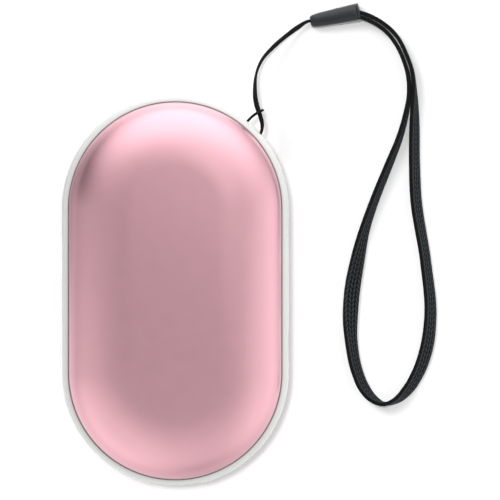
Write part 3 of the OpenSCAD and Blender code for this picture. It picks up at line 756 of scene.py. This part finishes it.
def settled(host):
    """Plain mesh of a host with its modifiers applied; the host goes."""
    bpy.context.view_layer.update()
    evaluated = host.evaluated_get(bpy.context.evaluated_depsgraph_get())
    mesh = bpy.data.meshes.new_from_object(evaluated)
    bpy.data.objects.remove(host)
    return mesh


def round_stadium(section, slot):
    """Host object whose section of (radius, height) points runs round the stadium."""
    host = linked("host", mesh_of([(r, 0, z) for r, z in section], []))
    with_nodes(host, STADIUM, {
        "Straight Half": STRAIGHT_HALF, "Turn Steps": TURN_STEPS, "Finish": finishes[slot],
    })
    return host


def dome_point(inset, turn):
    """Point of a shell's face, moved in by inset; turn is 0 at the flat, 90 degrees at the edge."""
    s = math.sin(turn)
    return (FLAT_R + (DOME_RUN - inset) * s,
            BAND_TOP + (DOME_RISE - inset) * math.sqrt(max(0.0, 1 - s**DOME_POWER)))


def dome_curve(inset):
    """Points along a shell's face from the flat to the edge, closer together at the edge."""
    return [dome_point(inset, math.pi / 2 * i / SECTION_STEPS) for i in range(SECTION_STEPS + 1)]


def shell_section():
    """From the middle of the face over the margin, down the skirt and back inside."""
    r = SHELL_R
    skirt = [(r, LEDGE_Z + 0.1 * MM), (r - 0.1 * MM, LEDGE_Z), (r - SHELL_T, LEDGE_Z)]
    middle = [(0.0, BODY_H), (FLAT_R / 2, BODY_H)]
    under = [(FLAT_R / 2, BODY_H - SHELL_T), (0.0, BODY_H - SHELL_T)]
    return middle + dome_curve(0) + skirt + dome_curve(SHELL_T)[::-1] + under


def make_shells():
    mesh = turned_out(settled(round_stadium(shell_section(), "rose_aluminium")))
    back = upside_down(mesh)
    piece("front_shell_skin", mesh, "rose_aluminium", replaces="front_shell")
    piece("back_shell_skin", back, "rose_aluminium", replaces="back_shell")


# Plugs: closed shapes lofted from rounded outlines, as solids and as cutting tools

def outline(width, height, radius, steps=8):
    """Points round a rectangle with rounded corners, centred on its middle."""
    radius = min(radius, width / 2 - 1e-6, height / 2 - 1e-6)
    points = []
    for quarter, (sx, sy) in enumerate(((1, 1), (-1, 1), (-1, -1), (1, -1))):
        for k in range(steps + 1):
            turn = math.pi / 2 * (quarter + k / steps)
            points.append((sx * (width / 2 - radius) + radius * math.cos(turn),
                           sy * (height / 2 - radius) + radius * math.sin(turn)))
    return points


def plug(stations, place):
    """Mesh lofted through (depth, width, height, radius) stations, put in place by a function."""
    rings = [[place(depth, u, v) for u, v in outline(w, h, r)] for depth, w, h, r in stations]
    return turned_out(loft(rings))


def from_left(y, x=-END_R):
    """Places a plug that goes in through the left side, its width along Y."""
    return lambda depth, u, v: Vector((x + depth, y + u, MID_Z + v))


def from_right(y, x=END_R):
    return lambda depth, u, v: Vector((x - depth, y + u, MID_Z + v))


def from_bottom(y=-STRAIGHT_HALF - END_R, z=MID_Z):
    """Places a plug that goes in through the bottom end, its width along X."""
    return lambda depth, u, v: Vector((u, y + depth, z + v))


def straight(depths, width, height, radius):
    """Stations of a plug that keeps its section."""
    return [(depth, width, height, radius) for depth in depths]


# Frame

BUTTON_Y = 8 * MM
BUTTON_LEN = 10 * MM
BUTTON_H = 4 * MM
BUTTON_GAP = 0.1 * MM
LIGHTS_Y = -8 * MM
LIGHT_YS = [LIGHTS_Y + (i - 1.5) * 2.6 * MM for i in range(4)]
PIP_D = 1.2 * MM
USB_A_W, USB_A_H = 13.1 * MM, 5.7 * MM
USB_C_W, USB_C_H = 8.94 * MM, 3.16 * MM
USB_C_Y = -14 * MM
LUG_TURNS = (math.radians(41), math.radians(50.6))
LUG_MIDDLE = sum(LUG_TURNS) / 2
LUG_MOUTH_W, LUG_MOUTH_H = 1.7 * MM, 2.4 * MM
LUG_CHANNEL_R = END_R - 3 * MM
LUG_BAR_INNER_R = END_R - 1.4 * MM
LUG_BAR_R, LUG_BAR_HALF, LUG_BAR_SHIFT = 1.5 * MM, 3 * MM, 0.15 * MM

# How thick the band is over the pieces behind it, and how far in the tools reach
BAND_WALL = 2.5 * MM
TOOL_DEPTH = 6 * MM


def upper_end(r, turn, z=MID_Z):
    """Point in the upper end, r from that end's centre."""
    return Vector((r * math.cos(turn), STRAIGHT_HALF + r * math.sin(turn), z))


def band_section():
    """Closed section of the frame: its rounded outer face, then the web inside."""
    half = BAND_TOP - MID_Z
    outer = []
    for i in range(-SECTION_STEPS, SECTION_STEPS + 1):
        turn = math.pi / 2 * i / SECTION_STEPS
        outer.append((LIP_R + RIM_W * math.cos(turn) ** (2 / BAND_POWER),
                      MID_Z + half * math.copysign(abs(math.sin(turn)) ** (2 / BAND_POWER), turn)))
    low = BODY_H - LEDGE_Z
    inner = [(LIP_R, LEDGE_Z), (WEB_R, LEDGE_Z), (WEB_R, low), (LIP_R, low)]
    return outer + inner + outer[:1]


def lug_mouth(turn):
    """Flared tool for one mouth of the lug, square to the end's outline."""
    out = Vector((math.cos(turn), math.sin(turn), 0))
    side = Vector((-out.y, out.x, 0))
    surface = upper_end(END_R, turn)

    def place(depth, u, v):
        return surface - depth * out + u * side + Vector((0, 0, v))

    w, h = LUG_MOUTH_W, LUG_MOUTH_H
    stations = [(d * MM, w + g * MM, h + g * MM, (w + g * MM) / 2)
                for d, g in ((-1, 0.9), (0.0, 0.5), (0.1, 0.22), (0.3, 0.05), (0.5, 0), (3, 0))]
    return plug(stations, place)


def lug_channel():
    """Curved tool that joins the two mouths behind the bar."""
    rings = []
    steps = 12
    for i in range(steps + 1):
        turn = LUG_TURNS[0] + (LUG_TURNS[1] - LUG_TURNS[0]) * i / steps
        middle = (LUG_CHANNEL_R + LUG_BAR_INNER_R) / 2
        width = LUG_BAR_INNER_R - LUG_CHANNEL_R
        rings.append([upper_end(middle + u, turn, MID_Z + v)
                      for u, v in outline(width, LUG_MOUTH_H - 0.02 * MM, 0.5 * MM)])
    return turned_out(loft(rings))


def lug_bar():
    """Rounded bar that stands a little proud between the mouths."""
    middle = upper_end(LUG_BAR_INNER_R + LUG_BAR_SHIFT, LUG_MIDDLE)
    rings = []
    steps, sides = 24, 48
    for i in range(steps + 1):
        lift = -math.cos(math.pi * i / steps)
        radius = LUG_BAR_R * (1 - abs(lift) ** 6) ** 0.5 + 0.001 * MM
        rim = [(radius * math.cos(a), radius * math.sin(a))
               for a in (math.tau * k / sides for k in range(sides))]
        rings.append([middle + Vector((x, y, LUG_BAR_HALF * lift)) for x, y in rim])
    return turned_out(loft(rings))


def flared(width, height, radius, chamfer, depth):
    """Stations of a tool whose mouth opens out in a small rounded chamfer."""
    c = chamfer
    return [
        (-2 * MM, width + 2 * c, height + 2 * c, radius + c),
        (0.0, width + 2 * c, height + 2 * c, radius + c),
        (0.3 * c, width + 1.1 * c, height + 1.1 * c, radius + 0.55 * c),
        (0.7 * c, width + 0.3 * c, height + 0.3 * c, radius + 0.15 * c),
        (1.4 * c, width, height, radius),
        (depth, width, height, radius),
    ]


def frame_tools():
    """Tools for the sockets, the button, the lights and the lug, as meshes."""
    usb_a = flared(USB_A_W + 0.2 * MM, USB_A_H + 0.2 * MM, 0.6 * MM, 0.35 * MM, TOOL_DEPTH)
    usb_c = flared(USB_C_W + 0.26 * MM, USB_C_H + 0.26 * MM, 2 * MM, 0.3 * MM, TOOL_DEPTH)
    button_w = BUTTON_LEN + 2 * BUTTON_GAP
    button_h = BUTTON_H + 2 * BUTTON_GAP
    button = flared(button_w, button_h, 3 * MM, 0.15 * MM, 2.6 * MM)
    step = 2 * (0.6 + 0.1) * MM
    behind = (BAND_WALL, TOOL_DEPTH)
    button_step = straight(behind, button_w + step, button_h + step, 3 * MM)
    pip = flared(PIP_D + 0.1 * MM, PIP_D + 0.1 * MM, 1 * MM, 0.06 * MM, TOOL_DEPTH)
    guide = straight(behind, 11.2 * MM, 2.6 * MM, 0.1 * MM)
    return [
        plug(usb_a, from_bottom()),
        plug(usb_c, from_right(USB_C_Y)),
        plug(button, from_left(BUTTON_Y)),
        plug(button_step, from_left(BUTTON_Y)),
        plug(guide, from_left(LIGHTS_Y)),
        *[plug(pip, from_left(y)) for y in LIGHT_YS],
        *[lug_mouth(turn) for turn in LUG_TURNS],
        lug_channel(),
    ]


def cut_and_joined(mesh, cuts, additions=()):
    """The mesh with some tools joined on, and then others cut out of it."""
    host = linked("host", mesh)
    steps = [("UNION", tool) for tool in additions] + [("DIFFERENCE", tool) for tool in cuts]
    tools = []
    for operation, tool in steps:
        tools.append(linked("host", tool))
        change = host.modifiers.new(operation, "BOOLEAN")
        change.operation, change.object, change.solver = operation, tools[-1], "EXACT"
    result = settled(host)
    for tool in tools:
        bpy.data.objects.remove(tool)
    return result


def make_frame():
    band = turned_out(settled(round_stadium(band_section(), "white_frame")))
    piece("mid_frame_moulding", cut_and_joined(band, frame_tools(), [lug_bar()]), "white_frame",
          replaces="mid_frame", sharp=35)


# Repeated small parts

def copies_tree():
    """Node tree that puts a copy of a shape at each point of its host."""
    tree, given = node_group("copies_at_points", "Copies", {
        "Places": "Geometry", "Shape": "Object", "Finish": "Material",
    })
    shape = add(tree, "GeometryNodeObjectInfo", {"Object": given["Shape"]}).outputs["Geometry"]
    spread = get(tree, "GeometryNodeInstanceOnPoints",
                 {"Points": given["Places"], "Instance": shape})
    return end_group(tree, spread, given["Finish"])


COPIES = copies_tree()


def repeated(shape, places, slot):
    """Mesh with a copy of a shape at each of the places."""
    original = linked("host", shape)
    host = linked("host", mesh_of(places, []))
    with_nodes(host, COPIES, {"Shape": original, "Finish": finishes[slot]})
    mesh = settled(host)
    bpy.data.objects.remove(original)
    return mesh


def joined(*meshes):
    """One mesh that holds several."""
    shape = bmesh.new()
    for mesh in meshes:
        shape.from_mesh(mesh)
    together = bpy.data.meshes.new("joined")
    shape.to_mesh(together)
    shape.free()
    return together


def upside_down(mesh):
    """Copy of a mesh, mirrored in the body's middle plane."""
    copy = mesh.copy()
    for vertex in copy.vertices:
        vertex.co.z = BODY_H - vertex.co.z
    copy.flip_normals()
    return copy


def strip(knots, width, thickness):
    """Bent strip of sheet metal, its width along X, through (y, z) knots."""
    line = [Vector(p) for p in smooth_line([(0.0, y, z) for y, z in knots], 0.25 * MM)]
    across = Vector((1, 0, 0))
    rings = []
    for centre, heading in zip(line, headings(line)):
        up = heading.cross(across)
        rings.append([centre + u * across + v * up
                      for u, v in outline(width, thickness, 0.4 * thickness, 2)])
    return turned_out(loft(rings))


def sheet_tube(width, height, radius, length, wall, place):
    """Drawn tube with a rounded lip round its mouth and a closed back."""
    def at(depth, inset):
        return (depth, width - 2 * inset, height - 2 * inset, radius - inset)

    lip = wall / 2
    return plug(
        [at(length, 0), at(1.2 * wall, 0), at(0.4 * wall, 0.1 * wall), at(0.1 * wall, 0.3 * wall),
         at(0, lip), at(0.1 * wall, 0.7 * wall), at(0.4 * wall, 0.95 * wall), at(1.2 * wall, wall),
         at(length - wall, wall)],
        place,
    )


# USB-A output socket

A_LOW, A_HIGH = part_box("usb_a_shell")
A_MOUTH_Y, A_WALL = tenth(A_LOW.y), 0.3 * MM
A_CONTACT_Z = tenth(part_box("usb_a_contacts")[1].z)
A_TONGUE_W, A_TONGUE_H = 11.1 * MM, 1.84 * MM
A_WINDOW_W, A_WINDOW_LEN, A_WINDOW_Y = 2 * MM, 5 * MM, A_MOUTH_Y + 6.5 * MM
A_SPRING_XS = (-3.6 * MM, 3.6 * MM)
A_CONTACT_XS = (-3.5 * MM, -1 * MM, 1 * MM, 3.5 * MM)


def make_usb_a():
    tube = sheet_tube(USB_A_W, USB_A_H, 0.7 * MM, tenth(A_HIGH.y - A_LOW.y), A_WALL,
                      from_bottom(A_MOUTH_Y))
    windows = [
        plug(straight((-USB_A_H, USB_A_H), A_WINDOW_W, A_WINDOW_LEN, 0.3 * MM),
             lambda depth, u, v, x=x: Vector((x + u, A_WINDOW_Y + v, MID_Z + depth)))
        for x in A_SPRING_XS
    ]
    box = cut_and_joined(tube, windows)

    # Leaf springs, rooted at each window's inner end and bowed into the socket
    y, z = A_MOUTH_Y, tenth(A_LOW.z) + A_WALL / 2
    bow = [(9.2, 0), (8.2, 0), (6.8, 0.32), (5.4, 0.5), (4.6, 0.36), (4.2, 0.12)]
    leaf = strip([(y + a * MM, z + b * MM) for a, b in bow], 1.5 * MM, 0.22 * MM)
    springs = repeated(leaf, [(x, 0, 0) for x in A_SPRING_XS], "socket_steel")
    piece("usb_a_socket_sheet", joined(box, springs, upside_down(springs)), "socket_steel",
          replaces="usb_a_shell")

    back = tenth(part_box("usb_a_tongue")[1].y) - A_MOUTH_Y
    inside_w, inside_h = USB_A_W - 2 * A_WALL - 0.1 * MM, USB_A_H - 2 * A_WALL - 0.1 * MM
    top = A_CONTACT_Z + A_TONGUE_H / 2
    blade = plug(
        [(d * MM, A_TONGUE_W - 2 * i * MM, A_TONGUE_H - 2 * i * MM, max(0.05, 0.3 - i) * MM)
         for d, i in ((1.6, 0.35), (1.65, 0.22), (1.78, 0.08), (2.0, 0.0))]
        + [(back - 2 * MM, A_TONGUE_W, A_TONGUE_H, 0.3 * MM)],
        from_bottom(A_MOUTH_Y, top))
    base = plug(
        [(back - 3 * MM, inside_w - 0.3 * MM, inside_h - 0.3 * MM, 0.3 * MM),
         (back - 2.85 * MM, inside_w, inside_h, 0.4 * MM), (back, inside_w, inside_h, 0.4 * MM)],
        from_bottom(A_MOUTH_Y))
    piece("usb_a_tongue_moulding", joined(blade, base), "tongue_white", replaces="usb_a_tongue")

    bump = [(10, 0), (8, 0), (6, -0.02), (4.6, -0.22), (3.6, -0.36), (2.9, -0.22), (2.4, 0.0)]
    knots = [(y + a * MM, A_CONTACT_Z + (b - 0.1) * MM) for a, b in bump]
    contact = strip(knots, 1 * MM, 0.2 * MM)
    piece("usb_a_contact_springs",
          repeated(contact, [(x, 0, 0) for x in A_CONTACT_XS], "contact_gold"), "contact_gold",
          replaces="usb_a_contacts")


# USB-C charging socket

C_MOUTH_X = round(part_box("usb_c_shell")[1].x, 5)
C_LEN, C_WALL = 7.35 * MM, 0.25 * MM
C_TONGUE_W, C_TONGUE_H, C_TONGUE_IN = 6.7 * MM, 0.7 * MM, 0.9 * MM
C_PADS, C_PAD_PITCH = 12, 0.5 * MM


def make_usb_c():
    place = from_right(USB_C_Y, C_MOUTH_X)
    piece("usb_c_socket_sheet",
          sheet_tube(USB_C_W, USB_C_H, USB_C_H / 2, C_LEN, C_WALL, place), "socket_steel",
          replaces="usb_c_shell")

    back = C_LEN - C_WALL
    inside_w, inside_h = USB_C_W - 2 * C_WALL - 0.1 * MM, USB_C_H - 2 * C_WALL - 0.1 * MM
    tongue = plug(
        [(C_TONGUE_IN + d * MM, C_TONGUE_W - 2 * i * MM, C_TONGUE_H - 2 * i * MM, r * MM)
         for d, i, r in ((0, 0.16, 0.12), (0.04, 0.08, 0.2), (0.14, 0.02, 0.25), (0.3, 0, 0.28))]
        + [(back - 1.5 * MM, C_TONGUE_W, C_TONGUE_H, 0.28 * MM),
           (back - 1.2 * MM, C_TONGUE_W + 0.5 * MM, C_TONGUE_H + 0.5 * MM, 0.5 * MM),
           (back - 1.2 * MM, inside_w, inside_h, 1.2 * MM), (back, inside_w, inside_h, 1.2 * MM)],
        place)
    piece("usb_c_tongue_moulding", tongue, "tongue_black", replaces="usb_c_tongue")

    surface = C_TONGUE_H / 2
    pad_x = C_MOUTH_X - 2.6 * MM
    pad = plug(
        straight((0, 0.03 * MM), 0.3 * MM, 2.4 * MM, 0.1 * MM)
        + [(0.04 * MM, 0.26 * MM, 2.36 * MM, 0.08 * MM)],
        lambda depth, u, v: Vector((pad_x + v, USB_C_Y + u, MID_Z + surface + depth)))
    row = [(0, (i - (C_PADS - 1) / 2) * C_PAD_PITCH, 0) for i in range(C_PADS)]
    pads = repeated(pad, row, "contact_gold")
    piece("usb_c_contact_pads", joined(pads, upside_down(pads)), "contact_gold")


# Power button and indicator lights

BUTTON_FACE_X = tenth(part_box("power_button")[0].x)
BUTTON_BACK_X = tenth(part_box("power_button")[1].x)
FLANGE_IN, FLANGE_T, FLANGE_OVER = 2.45 * MM, 0.7 * MM, 0.6 * MM
POST_D = 2.4 * MM
# How deep the cap's rim lies and its dish sags, the dish's inset, and the rounded edge's sizes
CAP_RIM, DISH_SAG, DISH_MIDDLE = 0.02 * MM, 0.13 * MM, 1.85 * MM
EDGE_IN, EDGE_DOWN = 0.5 * MM, 0.4 * MM
DISH_STEPS, EDGE_STEPS = 12, 6
GUIDE_X, GUIDE_BACK_X = -END_R + 2.6 * MM, tenth(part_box("led_light_guide")[1].x)


def make_button():
    """Cap with a shallow finger dish, its hidden flange, and the post that meets the switch."""
    def cap(depth, inset):
        w, h = BUTTON_LEN - 2 * inset, BUTTON_H - 2 * inset
        return (depth, w, h, h / 2)

    def quarter(i, steps):
        return math.pi / 2 * i / steps

    dish = [cap(CAP_RIM + DISH_SAG * math.cos(quarter(i, DISH_STEPS)),
                DISH_MIDDLE - (DISH_MIDDLE - EDGE_IN) * i / DISH_STEPS)
            for i in range(DISH_STEPS + 1)]
    edge = [cap(CAP_RIM + EDGE_DOWN * (1 - math.cos(quarter(i, EDGE_STEPS))),
                EDGE_IN * (1 - math.sin(quarter(i, EDGE_STEPS))))
            for i in range(1, EDGE_STEPS + 1)]
    flange_at = -END_R + FLANGE_IN - BUTTON_FACE_X
    flange = [cap(flange_at, 0), cap(flange_at, -FLANGE_OVER),
              cap(flange_at + FLANGE_T, -FLANGE_OVER)]
    post = straight((flange_at + FLANGE_T, BUTTON_BACK_X - BUTTON_FACE_X), POST_D, POST_D,
                    POST_D / 2)
    whole = plug(dish + edge + flange + post, from_left(BUTTON_Y, BUTTON_FACE_X))
    piece("power_button_cap", whole, "button_white", body="button", replaces="power_button")


def make_lights():
    """Clear bar behind the band with a domed pip for each light."""
    bar_w, bar_h = 10.8 * MM, 2.2 * MM
    bar = plug(
        [(GUIDE_X + END_R + d * MM, bar_w - 2 * i * MM, bar_h - 2 * i * MM, 0.3 * MM)
         for d, i in ((0, 0.15), (0.15, 0))]
        + [(GUIDE_BACK_X + END_R, bar_w, bar_h, 0.3 * MM)], from_left(LIGHTS_Y))
    dome = [(0.05 * MM + 0.25 * MM * (1 - math.cos(a)), PIP_D * math.sin(a), PIP_D * math.sin(a),
             PIP_D / 2 * math.sin(a)) for a in (math.pi / 2 * (i + 0.3) / 7.3 for i in range(8))]
    stem = [(GUIDE_X + END_R + 0.2 * MM, PIP_D, PIP_D, PIP_D / 2)]
    pip = plug(dome + stem, from_left(0.0))
    pips = repeated(pip, [(0, y, 0) for y in LIGHT_YS], "light_guide")
    piece("indicator_light_guide", joined(bar, pips), "light_guide", replaces="led_light_guide")


make_shells()
make_frame()
make_usb_a()
make_usb_c()
make_button()
make_lights()


# Finishes of the CAD nodes that stay

for subpart in frame["record"]["subparts"]:
    node = frame["nodes"][subpart["node"]]
    node.data.materials.clear()
    node.data.materials.append(finishes[subpart["material_slot"]])


# Table and light tent

# The table's matt share and its own glow for the camera, what it shows of the tent in
# reflections, and the distances from the object between which it turns plain white
TABLE_GREY = 0.3
TABLE_GLOW = 0.08
TABLE_LEAST = 0.4
TABLE_SHARE = 0.68
WHITE_FROM_TO = (0.16, 0.28)
TABLE_RADII = (0.1, 0.2, 0.4, 0.8, 1.6, 4.0)

# White tent over the object, dim overhead, with soft cards and lamps behind its cloth: azimuth
# and height in degrees, radius where full, width of its fading edge, and how much it adds. These
# values, the tent's two levels and the table's reflections are rounded results of a separate
# fitting program, which matched the shell's shading to the photograph's; they weren't chosen by
# hand, and the likeness of the shading is no evidence for the shell's shape
TENT_R, TENT_ROWS = 0.3, 24
TENT_ZENITH = 0.16
TENT_SIDES = 0.61
TENT_CARDS = {
    "back_softbox": (89, 30, 17, 48, 1.81),
    "overhead_softbox": (54, 77, 0, 15, 0.71),
    "right_card": (-13, 28, 13, 58, 0.9),
    "front_left_card": (228, 35, 15, 51, 0.91),
    "left_flag": (140, 2, 0, 53, -0.52),
    "front_right_card": (296, 53, 31, 8, 0.11),
}

# Lamps that only the table sees: level, slant off the vertical and softness in degrees. The object
# throws the narrow shadow on its right and in front, and the strap alone throws the wider one
SHADOW_AZIMUTH = 138
OBJECT_LAMP = (1.33, 6.5, 6)
STRAP_LAMP = (1.31, 40, 24)


def disc(radii, sectors, height_at):
    """Round sheet about the Z axis through rings of those radii, at the heights given for them."""
    points = [(0.0, 0.0, height_at(0.0))]
    for radius in radii:
        points += [(radius * math.cos(math.tau * k / sectors),
                    radius * math.sin(math.tau * k / sectors), height_at(radius))
                   for k in range(sectors)]
    faces = [(0, 1 + k, 1 + (k + 1) % sectors) for k in range(sectors)]
    for i in range(len(radii) - 1):
        a, b = 1 + i * sectors, 1 + (i + 1) * sectors
        faces += [(a + k, b + k, b + (k + 1) % sectors, a + (k + 1) % sectors)
                  for k in range(sectors)]
    return mesh_of(points, faces)


def staged(name, mesh, surface):
    """Links a sheet of the studio, with the material whose tree surface fills."""
    sheet = linked(name, mesh)
    material = bpy.data.materials.new(f"{name}_surface")
    material.use_nodes = True
    tree = material.node_tree
    tree.nodes.clear()
    add(tree, "ShaderNodeOutputMaterial", {0: surface(tree)})
    mesh.materials.append(material)
    return sheet


def tent_level(tree, way):
    """How brightly the tent's cloth glows in that direction from the object."""
    height = add(tree, "ShaderNodeSeparateXYZ", {0: way}).outputs[2]
    level = span(tree, height, 0.0, 1.0, TENT_SIDES, TENT_ZENITH, smooth=True)
    for azimuth, up, full, fade, change in TENT_CARDS.values():
        a, e = math.radians(azimuth), math.radians(up)
        towards = (math.cos(a) * math.cos(e), math.sin(a) * math.cos(e), math.sin(e))
        along = add(tree, "ShaderNodeVectorMath", {0: way, 1: towards},
                    operation="DOT_PRODUCT").outputs["Value"]
        angle = calc(tree, "ARCCOSINE", along)
        low, high = math.radians(full), math.radians(full + fade)
        level = calc(tree, "ADD", level, span(tree, angle, low, high, change, 0.0, smooth=True))
    return calc(tree, "MAXIMUM", level, 0.0)


def direction(tree):
    """The point on the sheet, and the direction to it from the middle of the object."""
    place = coordinate(tree)
    return place, get(tree, "ShaderNodeVectorMath", {0: place}, operation="NORMALIZE")


def glow(tree, strength):
    return get(tree, "ShaderNodeEmission", {"Strength": strength})


def table_surface(tree):
    """Matt white for the camera; in gloss it shows the tent's light; plain white further out."""
    place, way = direction(tree)
    away = add(tree, "ShaderNodeVectorMath", {0: place}, operation="LENGTH").outputs["Value"]
    ray = add(tree, "ShaderNodeLightPath").outputs
    lit = get(tree, "ShaderNodeBsdfDiffuse", {"Color": (*[TABLE_GREY] * 3, 1)})
    own = glow(tree, calc(tree, "MULTIPLY", ray["Is Camera Ray"], TABLE_GLOW))
    matt = get(tree, "ShaderNodeAddShader", {0: lit, 1: own})
    shown = calc(tree, "MULTIPLY_ADD", tent_level(tree, way), TABLE_SHARE, TABLE_LEAST)
    in_gloss = calc(tree, "MAXIMUM", ray["Is Glossy Ray"], ray["Is Transmission Ray"])
    inputs = {0: in_gloss, 1: matt, 2: glow(tree, shown)}
    near = get(tree, "ShaderNodeMixShader", inputs)
    far = span(tree, away, *WHITE_FROM_TO, smooth=True)
    return get(tree, "ShaderNodeMixShader", {0: far, 1: near, 2: glow(tree, 1.0)})


def tent_surface(tree):
    """Cloth that glows with the cards behind it."""
    return glow(tree, tent_level(tree, direction(tree)[1]))


def shadow_lamp(name, values, table, blockers=()):
    """Lamp that lights the table alone, shaded by all pieces or by some of them."""
    level, slant, softness = values
    lamp = bpy.data.lights.new(name, "SUN")
    lamp.angle = math.radians(softness)
    lamp.energy = level * math.pi
    source = linked(name, lamp)
    source.rotation_euler = (0.0, math.radians(slant), math.radians(SHADOW_AZIMUTH))
    only_table = bpy.data.collections.new(f"{name}_lights")
    only_table.objects.link(table)
    source.light_linking.receiver_collection = only_table
    if blockers:
        shaders = bpy.data.collections.new(f"{name}_shaded_by")
        for piece_of_strap in blockers:
            shaders.objects.link(piece_of_strap)
        source.light_linking.blocker_collection = shaders


def make_studio():
    """Table, tent, the table's own lamps, and white surroundings for the camera."""
    table = staged("table_top", disc(TABLE_RADII, 48, lambda r: 0.0), table_surface)
    radii = [TENT_R * math.sin(math.pi / 2 * i / TENT_ROWS) for i in range(1, TENT_ROWS + 1)]
    tent = staged("light_tent", disc(
        radii, 64, lambda r: math.sqrt(max(0.0, TENT_R ** 2 - r ** 2))), tent_surface)
    tent.visible_camera = False
    tent.visible_shadow = False

    shadow_lamp("object_lamp", OBJECT_LAMP, table)
    shadow_lamp("strap_lamp", STRAP_LAMP, table, blockers=[string, sleeve, webbing])

    world = bpy.data.worlds.new("surroundings")
    bpy.context.scene.world = world
    world.use_nodes = True
    tree = world.node_tree
    tree.nodes.clear()
    seen = add(tree, "ShaderNodeLightPath").outputs["Is Camera Ray"]
    white = get(tree, "ShaderNodeBackground", {0: (1, 1, 1, 1), 1: seen})
    add(tree, "ShaderNodeOutputWorld", {0: white})


make_studio()

bpy.context.scene.view_settings.view_transform = "Standard"
